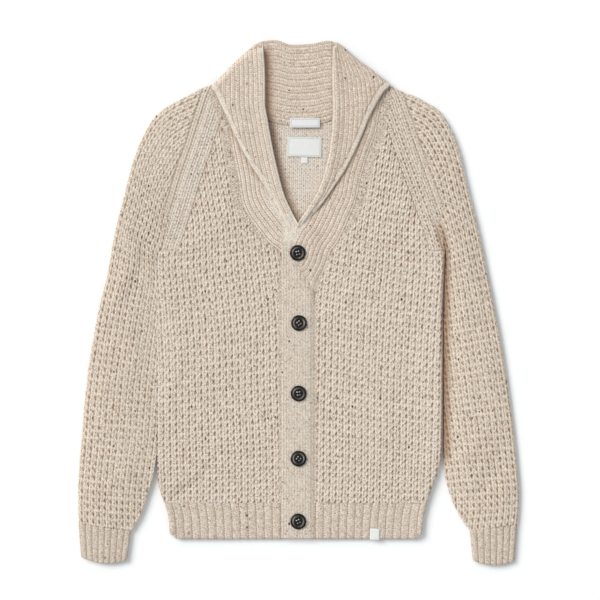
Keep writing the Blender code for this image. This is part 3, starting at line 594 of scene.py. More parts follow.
# %% Stitch relief
CELL_ACROSS = 9.7        # body waffle, from hollow to hollow
CELL_ALONG = 11.2
SLEEVE_ACROSS = 9.2
SLEEVE_ALONG = 10.95
PIT_SLANT = 0.3
TIP = 0.27               # how far the lower tip of an oval lies below the middle of a hollow
OVAL_HALF = 0.32         # from the middle of an oval to its legs, where it is widest
OVAL_BEND, OVAL_POWER, OVAL_TIP = 2.73, 0.75, 0.05
LEG_WIDTH = 0.105
LEG_RAISE = 0.9
LIP_RAISE = 0.5
PIT_WIDTH = 0.14        # half width of a hollow at its middle, in columns
PIT_SPREAD = -0.22       # how much it widens downwards
PIT_NARROW, PIT_WIDE = 0.06, 0.20
PIT_BELOW, PIT_LENGTH = 0.03, 0.23
PIT_DEPTH = 1.5
TAIL_BELOW, TAIL_WIDTH, TAIL_LENGTH = 0.37, 0.11, 0.12
DOT_HIGH, DOT_LOW = 0.89, 0.32       # the gaps where two ovals meet
WAFFLE_TOP = 1.5
GROOVE = 0.15            # half width of a groove between ribs, in ribs
RIB_RAISE = 1.3


def waffle(u, v, open_share=1):
    """Height of the waffle at a place in the knitting, in millimetres."""
    across, along = wrap(u), wrap(v)
    out = 0.5 - np.abs(across)
    up = np.mod(v + TIP, 1)
    leg = bell(out - OVAL_HALF * np.sin(OVAL_BEND * up**OVAL_POWER + OVAL_TIP), LEG_WIDTH)
    width = np.clip(PIT_WIDTH + PIT_SPREAD * along, PIT_NARROW, PIT_WIDE)
    pit = bell(across - PIT_SLANT * along, width) * bell(along + PIT_BELOW, PIT_LENGTH)
    tail = bell(across, TAIL_WIDTH) * bell(wrap(v + TAIL_BELOW), TAIL_LENGTH)
    dots = bell(wrap(up - DOT_HIGH), 0.08) + 0.5 * bell(wrap(up - DOT_LOW), 0.07)
    lip = np.exp(-up / 0.22) * bell(out, 0.2)
    return (LEG_RAISE * leg + LIP_RAISE * lip - PIT_DEPTH * open_share * (pit + 0.3 * tail)
            - 0.6 * dots * bell(out, 0.07))


def rib(u):
    """Height of a rib: a narrow groove at each whole number and a round wale between."""
    return RIB_RAISE * (1 - bell(wrap(u), GROOVE)) - 0.35


# %% [markdown]
# ## Yarn and other finishes
# The yarn is a cream marl with tiny dark, grey and rust flecks. It is one node group that every knit
# uses. Two more groups draw the waffle and the rib stitches from their places, so that the finishes
# paint shade into the hollows and light onto the strands, and fine twists of yarn show in the bump.

# %% Node helpers
class Value:
    """A result of a node. Sums with it add Math nodes, so a finish reads like the mesh code."""

    def __init__(self, socket):
        self.socket = socket

    def other(self, key):
        """Another result of the same node."""
        return Value(self.socket.node.outputs[key])

    def math(self, operation, *values):
        return calc(self.socket.id_data, operation, self, *values)

    def __add__(self, value):
        return self.math("ADD", value)

    def __sub__(self, value):
        return self.math("SUBTRACT", value)

    def __rsub__(self, value):
        return calc(self.socket.id_data, "SUBTRACT", value, self)

    def __mul__(self, value):
        return self.math("MULTIPLY", value)


def put(socket, value):
    """Link a socket to a result, or set it to a constant."""
    if isinstance(value, Value):
        socket.id_data.links.new(value.socket, socket)
    else:
        socket.default_value = value


def node(tree, kind, inputs=(), output=0, **settings):
    """Add a node, set its options and its inputs, and return one of its results."""
    made = tree.nodes.new(kind)
    for key, value in settings.items():
        setattr(made, key, value)
    for key, value in dict(inputs).items():
        put(made.inputs[key], value)
    return Value(made.outputs[output])


def calc(tree, operation, *values):
    """A Math node's result."""
    return node(tree, "ShaderNodeMath", dict(enumerate(values)), operation=operation)


def limited(value, low=0, high=1):
    return value.math("MAXIMUM", low).math("MINIMUM", high)


def wrapped(value):
    """The same as wrap, for a result."""
    return value.math("WRAP", 0.5, -0.5)


def bell_of(value, width):
    """The same as bell, for a result."""
    scaled = value.math("DIVIDE", width)
    return (scaled * scaled * -1).math("EXPONENT")


def blend(share, first, second):
    """Mix two colours, which are the inputs 6 and 7 of a Mix node."""
    return node(share.socket.id_data, "ShaderNodeMix", {0: share, 6: first, 7: second}, 2,
                data_type="RGBA")


def group(name, inputs, outputs):
    """A new node group: its tree, its inputs as results and its end node."""
    tree = bpy.data.node_groups.new(name, "ShaderNodeTree")
    kinds = {"Light": "Color", "Dark": "Color", "Color": "Color", "Stitches": "Vector"}
    for in_out, labels in (("INPUT", inputs), ("OUTPUT", outputs)):
        for label in labels:
            tree.interface.new_socket(label, in_out=in_out,
                                      socket_type="NodeSocket" + kinds.get(label, "Float"))
    start = tree.nodes.new("NodeGroupInput")
    given = [Value(start.outputs[label]) for label in inputs]
    return tree, given, tree.nodes.new("NodeGroupOutput")


def give(end, **results):
    """Link the results of a group to its end node."""
    for label, value in results.items():
        put(end.inputs[label], value)
    return end.id_data


# %% Yarn group
def yarn_group():
    """Marl colour and fibre height of the yarn, from the place on the garment."""
    tree, (light, dark, specks, flecks), end = group(
        "marled_yarn", ("Light", "Dark", "Specks", "Flecks"), ("Color", "Fibre"))
    place = node(tree, "ShaderNodeTexCoord", output="Object")

    def noise(scale, detail, roughness=0.5):
        return node(tree, "ShaderNodeTexNoise", {"Vector": place, "Scale": scale, "Detail": detail,
                                                 "Roughness": roughness}, "Fac")

    amount = noise(520, 2, 0.6) * 4.4 - 1.7 + (noise(90, 1) * 0.5 - 0.25)
    colour = blend(limited(amount), dark, light)
    kinds = (
        # cells a metre, size, share of the cells that hold one, strength, colour
        (310, 0.34, 0.55, specks, (0.42, 0.30, 0.215, 1)),
        (95, 0.13, 0.03, 1, (0.035, 0.032, 0.03, 1)),
        (210, 0.17, 0.13, 0.75, (0.20, 0.185, 0.165, 1)),
        (80, 0.13, 0.015, 0.8, (0.30, 0.14, 0.06, 1)),
        (150, 0.14, 0.08, 0.8, (0.27, 0.16, 0.11, 1)),
    )
    for number, (scale, size, share, strength, tint) in enumerate(kinds):
        moved = node(tree, "ShaderNodeMapping",
                     {"Vector": place, "Location": (0.13 * number, 0.07 * number, 0),
                      "Scale": (1, 0.72, 1)})
        cell = node(tree, "ShaderNodeTexVoronoi", {"Vector": moved, "Scale": scale}, "Color",
                    voronoi_dimensions="2D")
        chance = node(tree, "ShaderNodeSeparateColor", {"Color": cell})
        chosen = chance.math("LESS_THAN", flecks * share if number else share)
        grown = (chance.other(1) * 0.8 + 0.6) * size
        near = limited((grown - cell.other("Distance")) * 18, 0, strength)
        colour = blend(chosen * near, colour, tint)
    return give(end, Color=colour, Fibre=noise(1100, 3))


# %% Stitch groups
def waffle_group():
    """Hollows and strands of the waffle, from the place in the knitting."""
    tree, (place,), end = group("waffle_stitches", ("Stitches",), ("Pit", "Strand", "Gap", "Twist"))
    split = node(tree, "ShaderNodeSeparateXYZ", {0: place})
    row = split.other(1)
    across, along = wrapped(split), wrapped(row)
    whole = node(tree, "ShaderNodeVectorMath", {0: place, 1: (0.5, 0.5, 0.5)}, operation="ADD")
    whole = node(tree, "ShaderNodeVectorMath", {0: whole}, operation="FLOOR")
    chance = node(tree, "ShaderNodeTexWhiteNoise", {"Vector": whole}, "Value",
                  noise_dimensions="2D")
    width = limited(along * PIT_SPREAD + PIT_WIDTH, PIT_NARROW, PIT_WIDE)
    pit = bell_of(across - along * PIT_SLANT, width) * bell_of(along + PIT_BELOW, PIT_LENGTH)
    tail = bell_of(wrapped(row + TAIL_BELOW), TAIL_LENGTH) * bell_of(across, TAIL_WIDTH)
    pit = (tail * 0.42 + pit) * (chance * 0.6 + 0.7)
    up = (row + TIP).math("WRAP", 1, 0)
    out = 0.5 - across.math("ABSOLUTE")
    bend = up.math("POWER", OVAL_POWER) * OVAL_BEND + OVAL_TIP
    off = out - bend.math("SINE") * OVAL_HALF
    dots = bell_of(wrapped(up - DOT_HIGH), 0.10)
    dots = bell_of(wrapped(up - DOT_LOW), 0.07) * 0.5 + dots
    twist = ((off * 7 + row * 6) * (2 * math.pi)).math("SINE")
    return give(end, Pit=pit, Strand=bell_of(off, LEG_WIDTH), Gap=dots * bell_of(out, 0.085),
                Twist=twist)


def rib_group():
    """Grooves, the small gaps down each wale and its two legs, from the place in the knitting."""
    tree, (place, groove_width, gap_width), end = group(
        "rib_stitches", ("Stitches", "Groove Width", "Gap Width"), ("Groove", "Gap", "Leg"))
    split = node(tree, "ShaderNodeSeparateXYZ", {0: place})
    row = split.other(1)
    across = wrapped(split).math("ABSOLUTE")
    off = 0.5 - across
    gap = bell_of(off, gap_width) * bell_of(wrapped(row), 0.28)
    leg = ((off * 1.6 + row) * (2 * math.pi)).math("COSINE")
    return give(end, Groove=bell_of(across, groove_width), Gap=gap, Leg=leg)


YARN = yarn_group()
WAFFLE = waffle_group()
RIB = rib_group()
print("node groups:", ", ".join(tree.name for tree in (YARN, WAFFLE, RIB)))

# %% Finishes
LIGHT_YARN = (0.84, 0.75, 0.645, 1)
DARK_YARN = (0.55, 0.445, 0.355, 1)
LIGHT_JERSEY = (0.815, 0.745, 0.65, 1)
DARK_JERSEY = (0.61, 0.53, 0.44, 1)
# colour of the painted light on raised strands and of painted highlights
PALE_STRAND = (0.97, 0.905, 0.81, 1)
SLEEVE_YARN = (0.83, 0.73, 0.605, 1)       # the sleeves are a little warmer
# the same painted light for the sleeve strands
SLEEVE_STRAND = (0.965, 0.885, 0.765, 1)
# painted shade in the hollows, grooves and gaps of the stitches, and the colour of painted shadows
HOLLOW_SHADE = (0.31, 0.165, 0.088, 1)
EDGE_SHADOW = (0.28, 0.235, 0.18, 1)       # on cuffs and hem


def new_finish(name, roughness, sheen=0):
    """A material, its tree and its shader."""
    made = bpy.data.materials.new(name)
    made.use_nodes = True
    shader = made.node_tree.nodes["Principled BSDF"]
    shader.inputs["Roughness"].default_value = roughness
    shader.inputs["Specular IOR Level"].default_value = 0.2
    shader.inputs["Sheen Weight"].default_value = sheen
    return made, made.node_tree, shader


def finished(made, colour, height, distance):
    """Link the colour and the bump of a material, and return it."""
    tree = made.node_tree
    shader = tree.nodes["Principled BSDF"]
    put(shader.inputs["Base Color"], colour)
    put(shader.inputs["Normal"], node(tree, "ShaderNodeBump", {
        "Height": height, "Distance": distance, "Strength": 1}, "Normal"))
    return made


def use(tree, inner, **inputs):
    """Place a node group in a material; returns its results by name."""
    made = tree.nodes.new("ShaderNodeGroup")
    made.node_tree = inner
    for key, value in inputs.items():
        put(made.inputs[key.replace("_", " ")], value)
    return {socket.name: Value(socket) for socket in made.outputs}


def places(tree, name="stitches"):
    return node(tree, "ShaderNodeUVMap", uv_map=name)


def share_of(tree, name):
    return node(tree, "ShaderNodeAttribute", output="Fac", attribute_name=name)


def split_shade(tree):
    """Two shares from the shade attribute: painted shade above 0 and painted light below it."""
    shade = share_of(tree, "shade")
    painted_light = (shade * -1).math("MAXIMUM", 0)
    return shade.math("MAXIMUM", 0), painted_light


def waffle_finish(name, light_yarn, pale):
    made, tree, _ = new_finish(name, 0.92, 0.12)
    plain, groove, open_share = (share_of(tree, key) for key in ("plain", "groove", "open"))
    yarn = use(tree, YARN, Light=light_yarn, Dark=DARK_YARN, Specks=0.7, Flecks=4)
    cells = use(tree, WAFFLE, Stitches=places(tree))
    columns = use(tree, RIB, Stitches=places(tree, "edging"), Groove_Width=0.16, Gap_Width=0.24)
    painted_shade, painted_light = split_shade(tree)
    shown = 1 - plain
    # Painted shade darkens the pits, gaps and grooves, and painted light lightens the raised strands;
    # the shade attribute adds painted shadows, and painted light below 0.
    slit = (columns["Groove"] * 0.12 + columns["Gap"] * 0.28) * plain
    slit = groove * (columns["Leg"] * 0.2 + 0.35) + slit
    dark = cells["Gap"] * 0.8 + cells["Pit"] * open_share
    hollow_shade = ((dark * shown + slit + painted_shade) * 0.95).math("MINIMUM", 0.95)
    light = (cells["Strand"] * shown * 0.5 + painted_light).math("MINIMUM", 0.9)
    colour = blend(hollow_shade, blend(light, yarn["Color"], pale), HOLLOW_SHADE)
    height = cells["Twist"] * shown * 0.14 + yarn["Fibre"] * 0.8
    height = dark * (shown * -0.6) + height
    height = columns["Leg"] * (plain * 0.4) + height
    return finished(made, colour, height, 0.0007)


def rib_finish(name, specks, gap_share, groove_width, shadow):
    made, tree, _ = new_finish(name, 0.92, 0.12)
    plain, groove = share_of(tree, "plain"), share_of(tree, "groove")
    painted_shade, painted_light = split_shade(tree)
    yarn = use(tree, YARN, Light=blend(plain, LIGHT_YARN, LIGHT_JERSEY),
               Dark=blend(plain, DARK_YARN, DARK_JERSEY), Specks=specks, Flecks=1.2)
    ribs = use(tree, RIB, Stitches=places(tree), Groove_Width=groove_width, Gap_Width=0.14)
    # Painted shade darkens the grooves and gaps between the ribs. The shade attribute blends towards
    # the shadow colour above 0 and towards the pale strand colour below it; on the collar these are
    # painted shadows and painted highlights.
    hollow_shade = ribs["Groove"] * groove * (ribs["Leg"] * 0.5 + 1)
    hollow_shade = (ribs["Gap"] * gap_share + hollow_shade) * (1 - plain)
    colour = blend(painted_shade, blend(painted_light, yarn["Color"], PALE_STRAND), shadow)
    colour = blend(hollow_shade.math("MINIMUM", 0.95), colour, HOLLOW_SHADE)
    return finished(made, colour, ribs["Leg"] * 0.22 + yarn["Fibre"] * 0.7, 0.0006)


def jersey_finish():
    made, tree, _ = new_finish("jersey_knit", 0.9, 0.12)
    painted_shade, _ = split_shade(tree)
    yarn = use(tree, YARN, Light=LIGHT_JERSEY, Dark=DARK_JERSEY, Specks=0.42, Flecks=1)
    ribs = use(tree, RIB, Stitches=places(tree), Groove_Width=0.16, Gap_Width=0.2)
    # Painted shade darkens the gaps and grooves of the jersey, and the shade attribute darkens it
    # further.
    colour = blend(ribs["Gap"] * 0.2 + ribs["Groove"] * 0.4 + painted_shade, yarn["Color"], HOLLOW_SHADE)
    return finished(made, colour, ribs["Leg"] * 0.3 + yarn["Fibre"] * 0.7, 0.0005)


WAFFLE_KNIT = waffle_finish("waffle_knit", LIGHT_YARN, PALE_STRAND)
SLEEVE_KNIT = waffle_finish("waffle_knit_sleeve", SLEEVE_YARN, SLEEVE_STRAND)
RIB_KNIT = rib_finish("rib_knit", 0.3, 0.5, 0.11, HOLLOW_SHADE)
EDGE_RIB_KNIT = rib_finish("rib_knit_edge", 0.36, 0.05, 0.06, EDGE_SHADOW)
JERSEY_KNIT = jersey_finish()

# %% [markdown]
# ## The two fronts
# A front runs from the raglan seam and the side fold to the collar band and the placket. Its
# columns of stitches lean a little to the placket, and its rows climb towards it. Along the raglan
# a maker keeps a few tight columns, which follow the seam, so the large waffle stops before it.

# %% Fronts
ROLL_STEPS = np.radians(np.linspace(0, 90, 8))
ROLL_OUT, ROLL_DOWN = 1 - np.cos(ROLL_STEPS), 1 - np.sin(ROLL_STEPS)      # round a rolled edge
FRONT_GROOVE = 24.3      # from the raglan seam to the groove that the waffle starts at
FRONT_LINES = (4.05, 12.15)      # fine lines between the tight columns
EDGE_COLUMN = 8.1        # small waffle beside the raglan
EDGE_ROW = 5.7
EDGING_RIBS, EDGING_ROW = 5.2, 3.4      # plain ribs along the collar band
MARGIN_LOW, MARGIN_HIGH = 1.5, 12.5     # plain strip beside the collar band, and up at the neck
RAGLAN_FADE = 75       # y where the plain band beside the raglan has run out


def front_stitches(x, y, side, placket):
    """Places in the knitting of a front: its rows climb, and its columns lean, to the placket."""
    levels = np.linspace(340, -320, 661)
    lean = 0.02 + 0.15 * ease((levels + 100) / 230)
    lean_run = np.concatenate([[0], np.cumsum(lean)[:-1]])
    row_height = np.interp(-levels, (-125, -65, -5, 85, 175, 235, 300),
                           (11.3, 11, 11.1, 11.6, 11.3, 10.4, 9.9))
    row_run = np.concatenate([[0], np.cumsum(1 / row_height)[:-1]])
    wander_x, wander_y = drift(x, y)
    gauge = 9.55 - 0.85 * ease((y - 40) / 100)
    u = (side * x - placket - 63.7 + np.interp(-y, -levels, lean_run) + wander_x) / gauge
    out = np.maximum(side * x - placket, 0)
    droop = (0.2 * out - 0.00022 * out**2) * (1 - 0.75 * ease((-150 - y) / 150))
    v = -np.interp(-(y + droop + wander_y), -levels, row_run)
    return side * u, v


def folded(levels):
    """Whether a side is folded, from 1 along the body to 0 along the raglan seam."""
    return 1 - ease((levels - RAGLAN_END + 14) / 30)


def openness(x, y):
    return np.clip(1 + soft_spots(OPENNESS, x, y), 0.25, 1.5)


def into_seam(beside, left):
    """How much of the relief is left beside a seam, from 0 to 1; the left seams are softer."""
    return ease(beside / 3.5 + 0.1) if left else ease(beside / 1.6 + 0.4)


def valley_shadow(y):
    """How strong the painted shadow in the fold between the body and the left sleeve is, from 0 to 1.
    """
    return ease((138 - y) / 40) * ease((y + 250) / 30)


SEAM_CLOSE = 0.42         # how far each shell leans over the gap at the right side


def roll_reach(radius, last, across):
    """Reach from a rolled edge to the far side, and how steep the roll is there, from 1 to 0."""
    share = np.linspace(0, 1, across)[1:]
    reach = np.concatenate([radius * ROLL_OUT + 0 * last, radius + (last - radius) * share], 1)
    steep = np.zeros_like(reach)
    steep[:, : len(ROLL_STEPS)] = ROLL_DOWN
    return reach, steep


def front(name, table, dip, tight_share, count=520, across=166):
    left = table is FRONT_LEFT
    side_x, centre_y, centre_x = follow(table, 1, 0), follow(table, 1, 3), follow(table, 3, 2)
    levels = np.linspace(table[0][1], table[-1][1], count)
    start, ends = stack(side_x(levels), levels), centre_y(levels)
    toward, length = headings(start, stack(centre_x(ends), ends))
    roll = folded(levels)
    radius = np.minimum(SIDE_TOP / 2, 0.2 * length)[:, None]
    last = length[:, None] - SEAM / 2
    reach, steep = roll_reach(radius, last, across)
    reach = np.minimum(reach + SEAM / 2, last)
    down = (SIDE_TOP - SEAM) / 2 * steep * roll[:, None] * dip
    x, y = spread(start, toward, reach)
    if not left:
        x = x - SEAM_CLOSE * bell(reach, 1.5)
    slope = np.gradient(start[:, 0], levels)
    beside = reach / np.sqrt(1 + slope**2)[:, None]
    room = ease((length[:, None] - reach) / 25) * ease(reach / 25)
    z = FRONT_TOP + (SIDE_TOP - FRONT_TOP) * roll[:, None] * bell(reach, 24) * dip
    z += soft_spots(CREASES, x, y) * room - down
    z -= 0.25 * bell(length[:, None] - reach, 2.4)
    base = stack(x, y, z)

    u, v = front_stitches(x, y, 1 if left else -1, abs(table[-1][2]))
    run = run_along(start)[:, None]
    lower = ease((levels - RAGLAN_FADE) / 50)[:, None]
    tight = (beside < FRONT_GROOVE) & (lower > 0.02)
    wide = 1 + 0.35 * left
    u = np.where(tight, beside / EDGE_COLUMN, u)
    v = np.where(tight, run / (EDGE_ROW * wide), v)
    margin = MARGIN_LOW + (MARGIN_HIGH - MARGIN_LOW) * ease((levels[:, None] - 75) / 60)
    off_neck = length[:, None] - reach
    plain = 1 - ease((off_neck - margin) / 4)
    groove = bell(beside - FRONT_GROOVE, 1.1)
    groove += sum(0.6 * bell(beside - place, 0.9) for place in FRONT_LINES)
    groove = groove * lower * (0.35 if left else 0.9)
    open_share = openness(x, y) * (1 - tight_share * tight)
    height = waffle(u, v, open_share) * (1 - plain) * (1 - 0.4 * tight) - 0.35 * groove
    height = height * into_seam(beside, left)
    # Painted light over the tight columns beside the raglan; on the left front, painted shadow along
    # the side fold where it meets the sleeve.
    shade = -0.1 * tight * lower
    if left:
        shade = 0.68 * valley_shadow(y) * bell(reach - 5 * ease((y - 50) / 50), 3.5)
    edging = stack(off_neck / EDGING_RIBS + 0.5, run / EDGING_ROW)
    return knitted(name, base, height, BODY_WALL, u, v, WAFFLE_KNIT, maps={"edging": edging},
                   plain=plain, groove=groove, open=open_share, shade=shade)


front("front_right_knit", FRONT_RIGHT, 0, 0.5)
front("front_left_knit", FRONT_LEFT, 1, 0)

# %% [markdown]
# ## The sleeves
# A sleeve is a tube pressed flat: its upper layer starts at the raglan seam, bends round the
# outer fold and comes back underneath. Its columns of stitches follow the outer fold and its rows
# run down to the body, so the pattern is worked out on the cloth as if it were unfolded.

# %% Sleeves
def tube(width, seam_top, crown, fold_top, roll, upper, under, slope_in=34, dip=1):
    """Reach, height and unfolded reach of flattened tube sections, one row for each width."""
    width, roll = width[:, None], roll[:, None]
    fold = np.minimum(fold_top / 2, 0.3 * width)
    radius = np.minimum(seam_top / 2, 0.2 * width)
    last = width - fold

    def top_at(reach):
        rise = ease(reach / np.minimum(slope_in, width / 2))
        fall = ease((width - reach) / np.minimum(30, width / 2))
        return crown - (crown - seam_top) * (1 - rise) - (crown - 2 * fold) * (1 - fall)

    bend = radius * ROLL_OUT + SEAM / 2
    turn = (seam_top - SEAM) / 2 * ROLL_DOWN * roll
    flat = radius + (last - radius) * np.linspace(0, 1, upper)[1:]
    around = np.radians(np.linspace(90, -90, 13))[1:]
    back = last + (radius - last) * np.linspace(0, 1, under)[1:]
    reach = [bend, flat, last + fold * np.cos(around), back, bend[:, ::-1]]
    height = [top_at(bend) - turn * dip, top_at(flat), fold + fold * np.sin(around),
              0 * back, turn[:, ::-1]]
    unfolded = [bend, flat, last + fold * (math.pi / 2 - around),
                last + fold * math.pi + (last - back),
                2 * last + fold * math.pi - bend[:, ::-1]]
    below = [0 * bend, 0 * flat, ease(-np.sin(around)) + 0 * last, 1 + 0 * back, 1 + 0 * bend]
    return [np.concatenate(part, 1) for part in (reach, height, unfolded, below)]


SLEEVE_GROOVES = (7.1, 16.4)     # from the raglan seam
ROW_TURN = (
    # y on the outer fold, degrees that the row there runs down towards the body
    (330, 72),
    (297, 67),
    (281, 62),
    (255, 57),
    (223, 53),
    (175, 44),
    (127, 34),
    (73, 20),
    (48, 15.5),
    (11, 12),
    (-64, 9),
    (-175, 5.5),
    (-330, 5.5),
)
ROW_PITCH = (
    # y on the outer fold, height of a cell there
    (330, 12.4),
    (281, 11.8),
    (223, 12.6),
    (175, 13.2),
    (127, 13.4),
    (73, 12.6),
    (11, 11.3),
    (-64, 11.1),
    (-175, 10.8),
    (-330, 11),
)
COLUMN_PITCH = (
    # y in the middle of the sleeve, width of a cell there
    (290, 11),
    (260, 10.6),
    (230, 9.8),
    (193, 8.5),
    (155, 7.6),
    (110, 7.4),
    (65, 8),
    (-55, 9.1),
    (-145, 9.3),
    (-330, 8.6),
)


def sleeve_stitches(table, side, x, y, unfolded, width, toward, levels, far):
    """Columns follow the outer fold; rows start square to it and run down to the body."""
    fold_y = np.linspace(335, -345, 1361)
    fold_x = follow(table, 1, 0)(fold_y)
    line = stack(fold_x, fold_y)
    run = run_along(line)
    tangent = np.gradient(line, axis=0) / np.gradient(run)[:, None]
    turn = np.radians(follow(ROW_TURN, 0, 1)(fold_y))
    pitch = follow(ROW_PITCH, 0, 1)(fold_y)
    cells = np.concatenate([[0], np.cumsum(np.diff(run) / pitch[1:])])
    place = np.interp(-far, -fold_y, run)[:, None] + 0 * x
    for _ in range(14):
        here_x, here_y = np.interp(place, run, fold_x), np.interp(place, run, fold_y)
        angle = np.interp(place, run, turn)
        down_x, down_y = side * np.sin(angle), -np.cos(angle)
        off = (x - here_x) * down_x + (y - here_y) * down_y
        speed = np.interp(place, run, tangent[:, 0]) * down_x
        speed = speed + np.interp(place, run, tangent[:, 1]) * down_y
        place = np.clip(place + 0.7 * off / np.maximum(speed, 0.3), 0, run[-1])
    fold_turn = stack(*(np.interp(-far, -fold_y, tangent[:, k]) for k in (0, 1)))
    fold = np.minimum(SLEEVE_FOLD / 2, 0.3 * width)[:, None]
    inward = width[:, None] - fold + fold * math.pi / 2 - unfolded
    gauge = follow(COLUMN_PITCH, 0, 1)((levels + far) / 2)
    shift_x, shift_y = drift(x, y)
    u = -side * inward * crossing(toward, fold_turn) / gauge[:, None] + shift_x / SLEEVE_ACROSS
    v = np.interp(place, run, cells) + shift_y / SLEEVE_ALONG
    return u, v


def sleeve(name, table, side, seam_top, dip, slope_in, count=450, upper=66, under=30):
    inner_x, outer_y, outer_x = follow(table, 3, 2), follow(table, 3, 1), follow(table, 1, 0)

    def middle(y):
        far = outer_y(y)
        return stack((inner_x(y) + outer_x(far)) / 2, (y + far) / 2)

    levels = even(middle, count, table[0][3], table[-1][3])
    start = stack(inner_x(levels), levels)
    far = outer_y(levels)
    toward, width = headings(start, stack(outer_x(far), far))
    roll = folded(levels)
    room = ease((width - 12) / 50)[:, None]
    if side < 0:
        room = room * (1 - 0.65 * ease((levels[:, None] - 40) / 80))
    crown = FRONT_TOP + 0.7 + (SLEEVE_CROWN - FRONT_TOP - 0.7) * room
    top = FRONT_TOP + (seam_top - FRONT_TOP) * ease((RAGLAN_END + 40 - levels) / 90)[:, None]
    reach, z, unfolded, below = tube(width, top, crown, SLEEVE_FOLD, roll, upper, under, slope_in,
                                     dip)
    x, y = spread(start, toward, reach)
    if side < 0:
        x = x + SEAM_CLOSE * bell(reach, 1.5) * (1 - below)
    inside = ease(reach / 20) * ease((width[:, None] - 6 - reach) / 18)
    z = z + soft_spots(CREASES, x, y) * inside * room * (1 - below)
    beside = np.minimum(reach, unfolded) * crossing(toward, direction(start))
    base = stack(x, y, z)

    u, v = sleeve_stitches(table, side, x, y, unfolded, width, toward, levels, far)
    run = run_along(start)[:, None]
    above = ease((levels - RAGLAN_FADE - 40) / 50)[:, None] * (1 - below)
    tight = (beside < SLEEVE_GROOVES[1]) & (above > 0.02)
    u, v = np.where(tight, beside / EDGE_COLUMN + 0.12, u), np.where(tight, run / EDGE_ROW, v)
    groove = sum(bell(beside - place, 1.4) for place in SLEEVE_GROOVES) * above
    groove = groove * (0.3 if side > 0 else 0.8)
    open_share = openness(x, y) * (1 - 0.35 * tight)
    height = waffle(u, v, open_share) * (1 - 0.4 * tight) - 0.35 * groove
    height = height * into_seam(beside, side > 0) - below * WAFFLE_TOP
    # Painted light over the tight columns beside the raglan; on the left sleeve, painted shadow along
    # the fold where it meets the body.
    shade = -0.2 * tight * above
    if side > 0:
        shade = 0.72 * valley_shadow(y) * bell(reach - 4, 6.5) * (1 - below)
    wall = np.minimum(BODY_WALL, 0.24 * width)[:, None, None]
    return knitted(name, base, height, wall, u, v, SLEEVE_KNIT, floor=0.5, groove=groove,
                   open=open_share, shade=shade)


sleeve("sleeve_right_knit", SLEEVE_RIGHT, -1, 8.75, 0, 44)
sleeve("sleeve_left_knit", SLEEVE_LEFT, 1, 5.6, 1, 34)

# %% [markdown]
# ## Cuffs and hem
# Both are a plain rib, knitted tighter than the waffle, so the cloth above gathers slightly onto
# them. The cuff is a short flat tube. The hem is one strip for each front and one for the back.

# %% Cuffs
CUFF_RIBS = 10.4
HEM_RIBS = 12.2
RIB_ROW = 3.6           # height of a row of rib stitches


def cuff(name, top_row, end_row, rows=36, upper=58, under=40):
    share = np.linspace(0, 1, rows)[:, None]
    row = np.array(top_row) + (np.array(end_row) - np.array(top_row)) * share
    start, far = row[:, 2:], row[:, :2]
    toward, width = headings(start, far)
    down = stack(toward[:, 1], -toward[:, 0])
    down *= -np.sign(down[:, 1:])
    start = start + down * SEAM * (1 - share)
    fold_top = SLEEVE_FOLD - 0.6
    ones = np.ones(rows)
    gather = 1.1 * (1 - ease(share * 5))
    reach, z, unfolded, below = tube(
        width, (fold_top + 0 * ones)[:, None], fold_top + 1 + gather, fold_top, ones, upper, under
    )
    hang = CUFF_SAG * share * np.sin(np.pi * np.clip(reach / width[:, None], 0, 1))
    x, y = spread(start, toward, reach)
    x, y = x + down[:, :1] * hang, y + down[:, 1:] * hang
    base = stack(x, y, z)
    run = np.linalg.norm(np.array(end_row) - np.array(top_row)) / math.sqrt(2) * share
    count = round(math.dist(top_row[:2], top_row[2:]) / CUFF_RIBS)
    u = (unfolded / width[:, None]) * count
    v = (run + hang) / RIB_ROW
    ends = 0.4 * bell(share * 50, 1.6) + 0.8 * bell((1 - share) * 50, 1.4)
    height = rib(u) - ends - below * (RIB_RAISE + 0.1)
    height = np.where(below > 0.5, np.minimum(height, 0), height)
    return knitted(name, base, height, RIB_WALL, u, v, EDGE_RIB_KNIT, coarse=3, shade=0.19,
                   groove=0.85)


cuff("cuff_right_rib", SLEEVE_RIGHT[-1], CUFF_RIGHT_END)
cuff("cuff_left_rib", SLEEVE_LEFT[-1], CUFF_LEFT_END)


# %% Hem
HEM_SHADE, HEM_GROOVE = 0.155, 0.7


def hem_corner(reach, levels):
    """How far the lower corner of a hem is rounded up."""
    low = np.clip((-330 - levels) / 23, 0, 1)[:, None]
    return HEM_CORNER * (1 - ease(reach / 12)) * low


